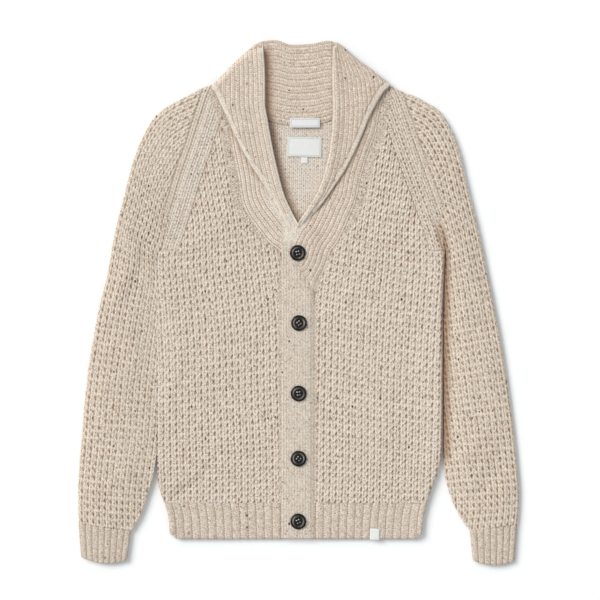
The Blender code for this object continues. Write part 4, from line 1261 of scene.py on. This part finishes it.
def hem_front(name, side_rows, centre_x, rows=38, across=120):
    levels = np.linspace(side_rows[0][1] + 0.5, side_rows[-1][1], rows)
    side_x = follow(side_rows, 1, 0)(levels)
    sign = 1 if centre_x > side_rows[0][0] else -1
    length = np.abs(centre_x - side_x)[:, None] - SEAM
    top = SIDE_TOP - 0.6
    reach, steep = roll_reach(top / 2, length, across)
    down = (top - SEAM) / 2 * steep
    low = ease((levels[0] - levels) / (levels[0] - levels[-1]))[:, None]
    x = side_x[:, None] + sign * (reach + SEAM / 2)
    y = levels[:, None] + hem_corner(reach, levels)
    z = top - (top - FRONT_TOP) * ease(reach / 26) - down
    z = z + 0.5 * np.sin(x / 23 + 1) * low
    base = stack(x, y, z)
    count = round((length[0, 0] + SEAM) / HEM_RIBS)
    u = reach / length * count + 0.15
    v = y / RIB_ROW
    from_top, from_end = levels[0] - levels[:, None], levels[:, None] - levels[-1]
    height = 0.85 * rib(u) - 0.4 - 0.2 * bell(from_top, 1.4) - 1 * bell(from_end, 1.3)
    height = height - 0.8 * bell(length - reach, 1.2)
    return knitted(name, base, height, RIB_WALL, u, v, EDGE_RIB_KNIT, shade=HEM_SHADE,
                   groove=HEM_GROOVE)


def back_rows(left, right, radius, roll, across):
    """X and z across the back, whose edges bend up at both sides."""
    bend, up = radius * ROLL_OUT, (radius - SEAM / 2) * ROLL_DOWN * roll
    share = np.linspace(0, 1, across)[1:-1]
    x = np.concatenate([left + bend, left + radius + (right - left - 2 * radius) * share,
                        right - bend[::-1]], 1)
    return x, np.concatenate([up, np.zeros((len(left), across - 2)), up[:, ::-1]], 1)


def hem_back(name, rows=30, across=200):
    levels = np.linspace(HEM_RIGHT[0][1], HEM_RIGHT[-1][1], rows)
    left = follow(HEM_RIGHT, 1, 0)(levels)[:, None] + SEAM / 2
    right = follow(HEM_LEFT, 1, 0)(levels)[:, None] - SEAM / 2
    x, z = back_rows(left, right, (SIDE_TOP - 0.6) / 2, np.ones_like(left), across)
    reach = np.minimum(x - left, right - x)
    y = levels[:, None] + hem_corner(reach, levels)
    base = stack(x, y, z)
    count = round((right[0, 0] - left[0, 0]) / HEM_RIBS)
    u = (x - left) / (right - left) * count
    ends = bell(levels[0] - levels, 1.6) + bell(levels - levels[-1], 1.3)
    height = rib(u) - RIB_RAISE - 0.1 - ends[:, None]
    return knitted(name, base, height, RIB_WALL, u, y / RIB_ROW, EDGE_RIB_KNIT, sign=-1,
                   shade=HEM_SHADE, groove=HEM_GROOVE)


hem_front("hem_front_right_rib", HEM_RIGHT, PLACKET_LEFT - SEAM / 2)
hem_front("hem_front_left_rib", HEM_LEFT, PLACKET_RIGHT + SEAM)
hem_back("hem_back_rib")

# %% [markdown]
# ## The back
# The back lies on the table, so its waffle is pressed into it from below and nothing stands past
# the plane it rests on. Its inside shows in the neck: the mesh is fine there and coarse where
# the fronts cover it.

# %% Back
def neck_seam(x):
    """Y of the back neck seam."""
    return NECK_LOW + NECK_RISE * (np.minimum(np.abs(x), NECK_HALF) / NECK_HALF) ** NECK_POWER


def roll_shadow_mask(out, y):
    """How strong the painted shadow beside the right roll is, by the distance from it and the level.
    """
    return np.where(out < 3, 1, bell(out - 3, 9)) * ease((395 - y) / 20)


def back(name, count=250, across=170):
    levels = np.linspace(FRONT_RIGHT[0][1], FRONT_RIGHT[-1][1], count)
    left = follow(FRONT_RIGHT, 1, 0)(levels)[:, None] + SEAM / 2
    right = follow(FRONT_LEFT, 1, 0)(levels)[:, None] - SEAM / 2
    roll = folded(levels)[:, None]
    x, z = back_rows(left, right, SIDE_TOP / 2, roll, across)
    pull = through((0, 55, 121, 190, 232), (1, 0.7, 0.3, 0.05, 0))
    drop = np.clip(pull(np.clip(levels[0] - levels, 0, 232)), 0, 1)[:, None]
    y = levels[:, None] + np.minimum(neck_seam(x) - levels[0], 0) * drop
    y[0] -= SEAM
    base = stack(x, y, z)
    shift_x, shift_y = drift(-x, y)
    u, v = (x + shift_x) / CELL_ACROSS, (y + shift_y) / CELL_ALONG
    beside = np.minimum(x - left, right - x)
    tight = (beside < FRONT_GROOVE) & (roll < 0.98)
    u, v = np.where(tight, beside / EDGE_COLUMN, u), np.where(tight, y / EDGE_ROW, v)
    groove = bell(beside - FRONT_GROOVE, 1.4) * (1 - roll)
    height = waffle(u, v) * (1 - 0.4 * tight) - 0.6 * groove - WAFFLE_TOP
    normal = normals(base, -1)
    inner_u, inner_v = 1.55 * u + 0.5, 2 * v
    inside = base - normal * BODY_WALL
    inside = inside - normal * (0.3 * waffle(inner_u, inner_v))[..., None]
    beside_roll = x - follow(ROLL_RIGHT, 1, 0)(y)
    # Painted shadow on the inside beside the right roll, and painted light over the rest of the
    # inside.
    roll_shade = roll_shadow_mask(beside_roll, y)
    roll_shade = 0.66 * roll_shade - 0.22 * (1 - roll_shade)
    open_rows = [i for i, level in enumerate(levels) if level > 70]
    rows = open_rows + list(range(open_rows[-1], count, 8))
    middle = np.abs(x[count // 2]) < 66
    columns = [j for j in range(x.shape[1]) if middle[j] or j % 8 == 0]
    return shell(
        name, base + normal * height[..., None], inside,
        {"stitches": stack(u, v)}, WAFFLE_KNIT, rows=rows, columns=columns,
        groove=groove, open=1 - 0.35 * tight, shade=0,
        inside={"stitches": stack(inner_u, inner_v), "open": 0.45, "shade": roll_shade},
    )


back("back_knit")

# %% [markdown]
# ## The shawl collar
# The collar is one long strip of rib. It starts as a band on each front, turns over at the roll
# line and falls back onto itself; behind the neck the stand shows its inside, with ribs that run
# sideways. Band, fall and stand are modelled apart, in the solids' own places.

# %% Collar helpers
COLLAR_RIBS = 6.9
COLLAR_ROW = 3.2


def band_base(y):
    """Under skin of a collar band: it climbs to lie over the back of the collar."""
    return np.interp(y, *BAND_RISE)


def crossing_rise(x, y):
    """How far the left band is lifted where it lies on the right one."""
    roll = np.interp(y, column(ROLL_RIGHT, 1)[::-1], column(ROLL_RIGHT, 0)[::-1])
    under_edge = np.where(y > ROLL_RIGHT[-1][1], roll, UNDER_PLACKET_RIGHT)
    low_enough = np.interp(y, (124, 165), (1, 0))
    near_enough = np.interp(x - under_edge, (6, 28), (1, 0))
    return (CROSSED_BASE - BAND_RISE[1][0]) * low_enough * near_enough


def settle(y, crossed):
    """How far a fall has sunk onto its band, from 0 up at the neck to 1 at the point."""
    return ease((152 - y) / 28) if crossed else ease((195 - y) / 50)


def crossing_edge(x):
    """Y of the edge of the left band where it lies over the right one."""
    rows = ROLL_LEFT[-5:]
    return follow(rows, 0, 1)(x)


# %% Collar bands
def band(name, table, roll_line, fall_table, rolled_rows, ribs, crossed, rows=210, across=58):
    centre_x = follow(table, 3, 2)
    seam_rows = table[: len(roll_line)]
    index = np.arange(len(roll_line), dtype=float)
    seam_y = through(index, column(seam_rows, 3))
    roll_x, roll_y = through(index, column(roll_line, 0)), through(index, column(roll_line, 1))

    def seam_at(t):
        return stack(centre_x(seam_y(t)), seam_y(t))

    t = even(seam_at, rows, 0, index[-1])
    seam, edge_point = seam_at(t), stack(roll_x(t), roll_y(t))
    toward, length = headings(edge_point, seam)
    roll = (1 - ease(t - rolled_rows + 1))[:, None]
    radius = np.minimum(ROLL_HEIGHT / 2, 0.25 * length)[:, None]
    reach, steep = roll_reach(radius, length[:, None] - SEAM, across)
    up = (ROLL_HEIGHT - SEAM) / 2 * steep * roll
    x, y = spread(edge_point, toward, reach)
    base_z = band_base(y) + (crossing_rise(x, y) if crossed else 0)
    under = stack(x, y, base_z + up)
    beside = (length[:, None] - reach) * crossing(toward, direction(seam))
    u = beside / COLLAR_RIBS + 0.5
    v = run_along(seam)[:, None] / COLLAR_ROW
    plain = ease((beside - ribs * COLLAR_RIBS) / 3)
    if crossed:
        low = ease((46 - y) / 30) * ease((32 - x) / 16)
        strip = (1 - ease((reach - 10) / 3)) * ease((130 - y) / 12)
        plain = np.maximum(plain, np.maximum(low, strip))
    else:
        plain = np.maximum(plain, ease((x + 30) / 9))
    lie = RIB_WALL + 0.9 * bell(beside - 22, 16) * ease((y - 90) / 60)
    meet = bell(beside, np.interp(y, (60, 120), (5, 12)))
    lie = lie + (FRONT_TOP - RIB_WALL - base_z) * meet
    height = lie + rib(u) * (1 - plain) * 0.7 * ease(beside / 4) - 0.2 * bell(beside, 1.2)
    across_fall = np.abs(x - follow(roll_line, 1, 0)(y))
    bottom = follow(fall_table, 0, 2)
    across_fall = np.minimum(across_fall, fall_table[-1][0])
    free_y = bottom(across_fall)
    slope = free_y - bottom(across_fall - 1)
    off_fall = (free_y - y) / np.sqrt(1 + slope**2)
    sunk = settle(y, crossed)
    # Painted shadow just outside the fall's free edge; away from it the band is made a little paler.
    shade = (0.38 if crossed else 0.3) * bell(off_fall - 1.5, 3.5 if crossed else 2.5) * (1 - sunk)
    shade = shade - (0.06 if crossed else 0.2) * (1 - bell(off_fall - 1.5, 5))
    if not crossed:
        plain = np.maximum(plain, sunk * (1 - ease((off_fall - 8) / 3)))
    return knitted(name, under, height, 0, u, v, RIB_KNIT, coarse=3, plain=plain,
                   groove=0.65 if crossed else 0.78, shade=shade)


band("collar_band_right_rib", FRONT_RIGHT, ROLL_RIGHT, FALL_RIGHT, 9, 6, False)
band("collar_band_left_rib", FRONT_LEFT, ROLL_LEFT, FALL_LEFT, 10, 11, True)


# %% Collar falls
ROLL_POWER = 0.7         # below 1 the roll is squarer than a circle
TIP_SETTLE = 3         # how much lower a roll lies at the point than at the neck
EDGE_LINE = 8          # from the free edge to the line beside its plain strip
RIB_START = 3.4        # from the roll to the first groove


def fall(name, table, roll_line, side, fan, crossed, rows=180, across=58):
    width = table[-1][0]
    top_at = follow(table, 0, 1)
    bottom_at = follow(table, 0, 2)
    roll_x = follow(roll_line, 1, 0)
    radius = ROLL_HEIGHT / 2
    reach = np.concatenate([radius * (1 - np.cos(ROLL_STEPS) ** ROLL_POWER),
                            radius + (width - radius) * np.linspace(0, 1, across)[1:]])
    down = np.zeros_like(reach)
    down[: len(ROLL_STEPS)] = (ROLL_HEIGHT - SEAM) / 2 * (1 - np.sin(ROLL_STEPS) ** ROLL_POWER)
    top_y, bottom_y = top_at(reach), bottom_at(reach)
    span = top_y - bottom_y
    turn = np.minimum(9, 0.45 * span)
    top_share = np.linspace(0, 1, 9)[:, None]
    rest = np.linspace(0, 1, rows)[1:, None]
    y = np.concatenate([top_y - turn * top_share, top_y - turn - (span - turn) * rest])
    draw = np.ones_like(y)
    if fan:
        draw = follow(fan, 0, 1)(np.clip(y, 300, 394))
    x = roll_x(y) + side * reach * draw
    base_z = band_base(y) + (crossing_rise(x, y) if crossed else 0)
    near_roll = 1 - ease((reach - radius) / 16)
    swell = (ROLL_HEIGHT - FALL_RISE - RIB_WALL) * near_roll
    under = base_z + FALL_RISE + swell
    sunk = 1 - np.sin(np.pi / 2 * np.clip((top_y - y) / turn, 0, 1))
    sink = sunk * (under + RIB_WALL - BAND_RISE[1][1]) * 0.96
    z = np.maximum(under + RIB_WALL - down - sink, FALL_END_LEVEL * (sunk > 0.9))
    lift = 1.2 * np.sin(np.pi * np.clip((y - bottom_y) / span, 0, 1)) * bell(reach - 0.55 * width, 22)
    edge_slope = np.gradient(bottom_y, reach + 1e-6)
    off_edge = (y - bottom_y) / np.sqrt(1 + np.minimum(edge_slope, 4) ** 2)
    low = settle(y, crossed)
    down_to = base_z + RIB_WALL + 0.5
    sag = low * (1 - ease(off_edge / 13)) * ease(reach / radius)
    z = z + lift * (1 - sunk)
    z = np.maximum(z - TIP_SETTLE * low, np.minimum(z, down_to))
    z = z + (np.minimum(z, down_to) - z) * sag
    if not crossed:
        end = 1 - ease((y - crossing_edge(x) - 1) / 38)
        z = z + (np.minimum(z, CROSSED_BASE - 0.05) - z) * end
        sag = np.maximum(sag, end)
    base = stack(x, y, z)
    strip = 1 - ease((off_edge - 5.5) / 3)
    near_edge = np.minimum(off_edge, 40)
    u = (reach - RIB_START) / COLLAR_RIBS + 0 * y
    v = y / COLLAR_ROW
    plain = np.clip(strip + 0.75 * bell(reach - 1, 2.6), 0, 1)
    height = rib(u) * (1 - plain) * (1 - sunk) * 0.7 + 0.3 * strip
    height = height - 0.5 * bell(near_edge - EDGE_LINE, 1) * (1 - low)
    height = (height - 0.9 * bell(near_edge, 1.3) * (1 - low)) * (1 - 0.8 * sag)
    # Painted shadow in a line along the free edge and along the groove beside its plain strip;
    # painted highlight along the rolled edge, on top of a shift that makes the right fall a little
    # paler and the left one a little darker all over.
    line = 0.4 * bell(near_edge - EDGE_LINE, 0.9) + 0.55 * bell(near_edge, 1)
    line = line * (1 - low * (0.6 if crossed else 1))
    roll_highlight = (0.1 if crossed else 0.4) * bell(reach - 1, 2.4) + (-0.01 if crossed else 0.13)
    plain = np.maximum(plain, low * (1 - ease((off_edge - 14) / 5)))
    wall = (RIB_WALL * (1 - 0.85 * sag))[..., None]
    return knitted(name, base, height, wall, u, v, RIB_KNIT, floor=FALL_END_LEVEL * (sunk > 0.9),
                   coarse=3, plain=plain, groove=0.58 if crossed else 0.66,
                   shade=line * (1 - sunk) - roll_highlight)


fall("collar_fall_right_rib", FALL_RIGHT, ROLL_RIGHT, -1, None, False)
fall("collar_fall_left_rib", FALL_LEFT, ROLL_LEFT, 1, FAN_LEFT, True, across=64)


# %% Back of the collar
STAND_RIBS = 12
STAND_STITCH = 3.1


def stand(name, across=150, upper=84):
    top_curve = follow(COLLAR_TOP, 0, 1)
    x = np.linspace(COLLAR_TOP[0][0], COLLAR_TOP[-1][0], across)[:, None]
    fold = (BACK_STAND_BASE + RIB_WALL) / 2
    low = neck_seam(x) + SEAM
    high = top_curve(x) - fold
    share = np.linspace(0, 1, upper)
    around = np.radians(np.linspace(90, -90, 9))[1:]
    down = np.linspace(0, 1, 26)[1:]
    free = np.maximum(COLLAR_FREE_BACK, low + 3)
    y = np.concatenate([low + (high - low) * share, high + fold * np.cos(around),
                        high + (free - high) * down], 1)
    z = np.concatenate([2 * fold + 0 * share, fold + fold * np.sin(around), 0 * down])[None] + 0 * y
    below = np.concatenate([0 * share, ease(-np.sin(around)), 1 + 0 * down])[None] + 0 * y
    z = z + 0.9 * np.sin(np.pi * np.clip((y - low) / (high - low), 0, 1)) * (1 - below)
    z = z - 1.6 * (1 - ease((y - low) / 9)) * (1 - below)
    base = stack(x + 0 * y, y, z)
    ribs = np.concatenate([STAND_RIBS * share, STAND_RIBS + 0.5 + 0 * around,
                           STAND_RIBS + 1 + 9 * down])[None] + 0 * y
    beside_roll = x - follow(ROLL_RIGHT, 1, 0)(np.minimum(y, 375))
    beyond = x - follow(ROLL_LEFT, 1, 0)(np.minimum(y, 375))
    fan = follow(FAN_LEFT, 0, 1)(np.clip(y, 300, 394))
    along = (x + 0 * y) / STAND_STITCH
    for outside, reach in ((beside_roll < 0, -beside_roll), (beyond > 0, beyond / fan)):
        upright = outside & (below < 0.5)
        ribs = np.where(upright, (reach - RIB_START) / COLLAR_RIBS, ribs)
        along = np.where(upright, y / COLLAR_ROW, along)
    height = rib(ribs) * np.where(beyond > 0, 0.3, 0.75) - below * (RIB_RAISE + 0.1)
    # Painted shadow on the stand beside the right roll.
    roll_shade = 0.7 * roll_shadow_mask(beside_roll, y) * (1 - below) * (beside_roll > -2)
    return knitted(name, base, height, RIB_WALL, ribs, along, RIB_KNIT, floor=0.4 - 10 * below,
                   coarse=4, groove=0.5, shade=roll_shade)


stand("collar_back_rib")


# %% [markdown]
# ## The placket
# The fronts are edged with a firm, fine jersey band. The buttonhole side lies on the button side.
# Both are nearly flat; the upper one rises a little round each button and dips between them.

# %% Placket
BUTTONS = (
    # x, y, turn in degrees
    (-3.4, 75.8, 12),
    (-1.6, -29.3, 38),
    (-2.2, -134.9, 5),
    (-2.2, -232.5, 52),
    (-2.7, -326.6, 24),
)
PLACKET_WALL = 2.8
PLACKET_RIBS = 6.2       # between the ribs at the top of the placket
JERSEY_STITCH = 4.1
JERSEY_ROW = 3.1


def placket(name, left, right, top_left, top_right, base_z, drop, across, rows):
    share = np.linspace(0, 1, across)
    x = left + (right - left) * share
    top_y = top_left + (top_right - top_left) * share - SEAM
    y = top_y + (PLACKET_BOTTOM - top_y) * np.linspace(0, 1, rows)[:, None]
    x = x + 0 * y
    z = base_z + PLACKET_WALL + 0 * y
    ribs = bell(wrap((x - 1.3) / PLACKET_RIBS), 0.13) * ease((y - top_y + 22) / 20)
    ribs = ribs * ease((x + 10) / 10)
    if drop:
        z = z - 0.35 * ribs
        z = z - drop * ease((x - UNDER_PLACKET_RIGHT) / (right - UNDER_PLACKET_RIGHT))
        z = z - 0.7 * (1 - ease((x - left) / 3.5))
        for button_x, button_y, _ in BUTTONS:
            z = z + 0.5 * bell(np.hypot(x - button_x, (y - button_y) / 1.6), 16)
        z = z + 0.25 * np.sin(y / 9 + 1) * bell(x - left, 5)
        z = z - 0.2 * bell(x - left - 4.2, 1.2) - 0.2 * bell(right - x - 4.6, 1.2)
    # A dashed dark line along the right edge stands for its seam; the rib lines are painted shade in
    # their grooves.
    shade = 0.16 * bell(right - x - 1.4, 0.9) * (0.6 + 0.4 * np.sin(y / 2.3))
    shade = (shade + 0.55 * ribs) * (drop > 0)
    return knitted(name, stack(x, y, z), 0 * z, PLACKET_WALL, x / JERSEY_STITCH, y / JERSEY_ROW,
                   JERSEY_KNIT, shade=shade)


placket("placket_under_jersey", PLACKET_LEFT, UNDER_PLACKET_RIGHT, 75.6, 75.6, 4.6, 0, 8, 60)
band_end = through((ROLL_LEFT[-1][0], FRONT_LEFT[12][2]), (ROLL_LEFT[-1][1], FRONT_LEFT[12][3]))
sides = (PLACKET_LEFT - 0.35, PLACKET_RIGHT + 0.45)
placket("placket_top_jersey", *sides, *band_end(sides), CROSSED_BASE, 2, 64, 200)

# %% [markdown]
# ## The buttons
# Each button is dark horn: a low rim round a flat middle with four holes, sewn on with pale thread.
# The ring of its dish is a painted reflection in the finish, a lighter ring brightest on two opposite
# arcs. One is modelled from a cylinder as by hand, with extruded rings and an inset, and copied.

# %% Buttons
BUTTON_ACROSS = 23.7
BUTTON_BASE = CROSSED_BASE + PLACKET_WALL + SEAM + 0.3
FOOT_SHARE, FOOT_HEIGHT = 0.86, 1.3     # the narrower foot that the rim stands on
HOLE = 2.5
HOLE_SPACING = 4.8
THREAD_LEVEL, THREAD_HALF = 1.4, 0.66   # middle of the stitches, and half their width


def pick_top(mesh_object):
    """Select only the highest face of a mesh in edit mode."""
    mesh = mesh_object.data
    bpy.ops.object.mode_set(mode="OBJECT")
    top = max(mesh.polygons, key=lambda face: face.center.z * 1000 + face.area)
    for thing in (*mesh.vertices, *mesh.edges, *mesh.polygons):
        thing.select = False
    top.select = True
    bpy.ops.object.mode_set(mode="EDIT")


def horn_finish():
    made, tree, shader = new_finish("dark_horn", 0.22)
    shader.inputs["Specular IOR Level"].default_value = 0.3
    place = node(tree, "ShaderNodeTexCoord", output="Object")
    stretched = node(tree, "ShaderNodeMapping", {"Vector": place, "Scale": (1, 0.35, 1),
                                                 "Rotation": (0, 0, 0.5)})
    streak = node(tree, "ShaderNodeTexNoise", {"Vector": stretched, "Scale": 260, "Detail": 3,
                                               "Distortion": 0.6}, "Fac")
    amount = limited(streak * 3.2 - 1.5)
    face = places(tree, "face")
    out = node(tree, "ShaderNodeVectorMath", {0: face}, "Value", operation="LENGTH")
    highlight_slant = node(tree, "ShaderNodeVectorMath", {0: face, 1: (-0.71, 0.71, 0)}, "Value",
                 operation="DOT_PRODUCT")
    # Painted reflection: a lighter ring where the dish would be, brightest on two opposite arcs and
    # varied by the horn's streaks.
    ring = bell_of(out - 0.66, 0.08) * (highlight_slant * highlight_slant * 1.9 + 0.1) * (amount * 0.6 + 0.5)
    colour = blend(amount, (0.004, 0.0035, 0.003, 1), (0.02, 0.015, 0.012, 1))
    put(shader.inputs["Roughness"], streak * 0.2 + 0.08)
    return finished(made, blend(ring, colour, (0.42, 0.37, 0.32, 1)), streak, 0.0001)


def thread_finish():
    made, tree, _ = new_finish("pale_thread", 0.7)
    place = node(tree, "ShaderNodeTexCoord", output="Object")
    ply = node(tree, "ShaderNodeTexWave", {"Vector": place, "Scale": 900, "Distortion": 1},
               "Fac")
    return finished(made, blend(ply, (0.74, 0.70, 0.65, 1), (0.95, 0.92, 0.88, 1)), ply, 0.0001)


def model_button(finish):
    """One button at the origin, its foot centred on z 0."""
    radius = BUTTON_ACROSS / 2 * MM
    bpy.ops.mesh.primitive_cylinder_add(vertices=64, radius=radius * FOOT_SHARE,
                                        depth=FOOT_HEIGHT * MM, location=(0, 0, FOOT_HEIGHT / 2 * MM))
    button = bpy.context.object
    steps = (
        # share of the last ring's width, rise in millimetres; once the ring turns down, the
        # highest face is one of the rim's, so the last steps only fold that one in
        (1 / FOOT_SHARE, 0),
        (1, 1.5),
        (0.955, 0.55),
        (0.93, 0.25),
        (0.93, -0.05),
        (0.93, -0.5),
        (0.90, -0.75),
        (0.90, -0.3),
    )
    bpy.ops.object.mode_set(mode="EDIT")
    for widen, rise in steps:
        pick_top(button)
        bpy.ops.mesh.extrude_region_move(TRANSFORM_OT_translate={"value": (0, 0, rise * MM)})
        bpy.ops.transform.resize(value=(widen, widen, 1), center_override=(0, 0, 0))
    pick_top(button)
    bpy.ops.mesh.inset(thickness=radius * 0.2, depth=0)
    bpy.ops.object.mode_set(mode="OBJECT")
    for number in range(4):
        angle = math.radians(45 + 90 * number)
        reach = HOLE_SPACING / math.sqrt(2) * MM
        bpy.ops.mesh.primitive_cylinder_add(
            vertices=20, radius=HOLE / 2 * MM, depth=14 * MM,
            location=(reach * math.cos(angle), reach * math.sin(angle), 0),
        )
        cutter = bpy.context.object
        bpy.context.view_layer.objects.active = button
        cut = button.modifiers.new("hole", "BOOLEAN")
        cut.object = cutter
        cut.operation = "DIFFERENCE"
        bpy.ops.object.modifier_apply(modifier=cut.name)
        bpy.data.objects.remove(cutter)
    bpy.ops.object.select_all(action="DESELECT")
    button.select_set(True)
    bpy.context.view_layer.objects.active = button
    bpy.ops.object.shade_smooth_by_angle(angle=math.radians(38))
    button.data.materials.clear()
    button.data.materials.append(finish)
    return button


def model_thread(finish):
    """Three stitches of thread through the holes of a button at the origin."""
    reach = HOLE_SPACING / 2 * MM
    low = THREAD_LEVEL * MM
    strands = []
    for side, shift in ((1, 0.86), (-1, 0.86), (1, 1.14)):
        bpy.ops.mesh.primitive_torus_add(
            major_radius=reach, minor_radius=THREAD_HALF * MM, major_segments=28, minor_segments=8,
            location=(0, side * reach * shift, low),
            rotation=(math.radians(90), 0, 0),
        )
        bpy.ops.object.transform_apply(location=True, rotation=True, scale=True)
        strand = bpy.context.object
        bpy.ops.object.mode_set(mode="EDIT")
        bpy.ops.mesh.select_all(action="SELECT")
        bpy.ops.transform.resize(value=(1, 1, 0.5), center_override=(0, 0, low))
        bpy.ops.object.mode_set(mode="OBJECT")
        strands.append(strand)
    bpy.ops.object.select_all(action="DESELECT")
    for strand in strands:
        strand.select_set(True)
    bpy.context.view_layer.objects.active = strands[0]
    bpy.ops.object.join()
    thread = bpy.context.object
    bpy.ops.object.shade_smooth()
    thread.data.materials.clear()
    thread.data.materials.append(finish)
    return thread


def place_copy(model, name, x, y, turn):
    """Copy a model with its own mesh, turned and moved to a button's place."""
    mesh = model.data.copy()
    angle = math.radians(turn)
    spots = np.empty(len(mesh.vertices) * 3)
    mesh.vertices.foreach_get("co", spots)
    spots = spots.reshape(-1, 3)
    corners = np.empty(len(mesh.loops), np.int32)
    mesh.loops.foreach_get("vertex_index", corners)
    face = (spots[:, :2] / (BUTTON_ACROSS / 2 * MM))[corners]
    for old in list(mesh.uv_layers):
        mesh.uv_layers.remove(old)
    mesh.uv_layers.new(name="face").data.foreach_set("uv", face.astype(np.float32).ravel())
    turned = stack(spots[:, 0] * math.cos(angle) - spots[:, 1] * math.sin(angle),
                      spots[:, 0] * math.sin(angle) + spots[:, 1] * math.cos(angle),
                      spots[:, 2])
    turned += (np.array((x, y, BUTTON_BASE)) - CENTRE) * MM
    mesh.vertices.foreach_set("co", turned.ravel())
    made = bpy.data.objects.new(name, mesh)
    bpy.context.collection.objects.link(made)
    return made


button_model = model_button(horn_finish())
thread_model = model_thread(thread_finish())
for number, (x, y, turn) in enumerate(BUTTONS, 1):
    place_copy(button_model, f"button_{number}_horn", x, y, turn)
    place_copy(thread_model, f"button_{number}_thread", x, y, turn)
print("button faces:", len(button_model.data.polygons))
for model in (button_model, thread_model):
    bpy.data.objects.remove(model)

# %% [markdown]
# ## The labels
# Four small white woven labels are sewn in. Nothing is written on them. A woven label is thin and
# crisp, its ends are turned under, and a line of stitches runs just inside its edge.

# %% Labels
LABEL_WALL = 0.8
LABEL_STEP = 0.6         # between the points of a label's mesh


def label_finish():
    made, tree, _ = new_finish("woven_label", 0.6, 0.1)
    across = node(tree, "ShaderNodeSeparateXYZ", {0: places(tree)})
    weave = (across * 9).math("SINE") * (across.other(1) * 9).math("SINE")
    colour = blend(weave * 0.2 + 0.2, (0.93, 0.925, 0.90, 1), (0.70, 0.71, 0.70, 1))
    colour = blend(share_of(tree, "sewn") * 0.6, colour, (0.45, 0.46, 0.47, 1))
    return finished(made, colour, weave, 0.00012)


WOVEN_LABEL = label_finish()


def label(name, middle, size, low, turn, bow=0, stitched=True):
    angle = math.radians(turn)
    across, along = (int(side / LABEL_STEP) + 2 for side in size)
    u = (np.linspace(-0.5, 0.5, across) * size[0])[None] + np.zeros((along, 1))
    v = (np.linspace(-0.5, 0.5, along) * size[1])[:, None] + np.zeros((1, across))
    x = middle[0] + u * math.cos(angle) - v * math.sin(angle)
    y = middle[1] + u * math.sin(angle) + v * math.cos(angle)
    edge = np.minimum(size[0] / 2 - np.abs(u), size[1] / 2 - np.abs(v))
    line = bell(edge - 2, 0.6) * stitched
    z = low + LABEL_WALL + bow * (1 - (2 * u / size[0]) ** 2) + 0.25 * np.sin(u / 6 + v / 9)
    base = stack(x, y, z - 0.3 * line - 0.35 * bell(edge, 0.7))
    return shell(name, base, base - (0, 0, LABEL_WALL), {"stitches": stack(u, v)},
                 WOVEN_LABEL, sewn=line)


STAND_TOP = BACK_STAND_BASE + RIB_WALL + RIB_RAISE + 0.6
label("neck_tape_woven", (7.5, 271), (45, 14), STAND_TOP, 0, 0.5)
label("neck_label_woven", (6.9, 235), (51, 29.5), BODY_WALL + 0.9, -1.5, 0.6)
label("size_tab_woven", (7, 215), (9.6, 9), BODY_WALL + 0.6, -1.5, 0.2, False)
label("side_tab_woven", (112, -346), (14.5, 17), FRONT_TOP + RIB_RAISE - 0.3, -2, 0.4, False)

# %% [markdown]
# ## Put the pieces on the body
# Everything rides on the one body. Each shell is hung on it and its solid is hidden. The table also
# lists each piece's finish slot and how large its cloth was cut, measured along the cloth and all
# round a tube, but nothing here reads them.

PIECES = (
    # piece, solid, slot, width and length of the cut in metres, cut area, what it lies on
    ("back_knit", "back_panel", "waffle_knit", 0.445, 0.62, 0.235, ()),
    ("front_right_knit", "front_right", "waffle_knit", 0.195, 0.62, 0.092, ("back_panel",)),
    ("front_left_knit", "front_left", "waffle_knit", 0.20, 0.62, 0.094, ("back_panel",)),
    ("sleeve_right_knit", "sleeve_right", "waffle_knit", 0.23, 0.72, 0.130, ()),
    ("sleeve_left_knit", "sleeve_left", "waffle_knit", 0.23, 0.71, 0.120, ()),
    ("cuff_right_rib", "cuff_right", "rib_knit", 0.165, 0.055, None, ()),
    ("cuff_left_rib", "cuff_left", "rib_knit", 0.155, 0.056, None, ()),
    ("hem_front_right_rib", "hem_front_right", "rib_knit", 0.182, 0.054, None, ("hem_back",)),
    ("hem_front_left_rib", "hem_front_left", "rib_knit", 0.176, 0.054, None, ("hem_back",)),
    ("hem_back_rib", "hem_back", "rib_knit", 0.40, 0.054, None, ()),
    ("collar_back_rib", "collar_back", "rib_knit", 0.24, 0.205, 0.040, ()),
    ("collar_band_right_rib", "collar_band_right", "rib_knit", 0.10, 0.32, 0.018, ("back_panel",)),
    ("collar_band_left_rib", "collar_band_left", "rib_knit", 0.10, 0.36, 0.021, ("back_panel",)),
    ("collar_fall_right_rib", "collar_fall_right", "rib_knit", 0.08, 0.27, 0.0135,
     ("collar_band_right",)),
    ("collar_fall_left_rib", "collar_fall_left", "rib_knit", 0.088, 0.275, 0.0125,
     ("collar_band_left",)),
    ("placket_under_jersey", "placket_under", "jersey_knit", 0.042, 0.428, None, ("back_panel",)),
    ("placket_top_jersey", "placket_top", "jersey_knit", 0.049, 0.439, 0.0198,
     ("placket_under",)),
    ("neck_tape_woven", "neck_tape", "woven_label", 0.045, 0.014, None, ("collar_back",)),
    ("neck_label_woven", "neck_label", "woven_label", 0.051, 0.0295, None, ("back_panel",)),
    ("size_tab_woven", "size_tab", "woven_label", 0.01, 0.01, None, ("back_panel",)),
    ("side_tab_woven", "side_tab", "woven_label", 0.0145, 0.017, None, ("hem_front_left",)),
)
for piece_name, solid, slot, width, length, area, below in PIECES:
    piece = bpy.data.objects[piece_name]
    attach(piece, "root")
    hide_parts(solid)
for number in range(1, len(BUTTONS) + 1):
    button = bpy.data.objects[f"button_{number}_horn"]
    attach(button, "root")
    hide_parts(f"button_{number}")
    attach(bpy.data.objects[f"button_{number}_thread"], "root")

# %% Update the scene
bpy.context.view_layer.update()
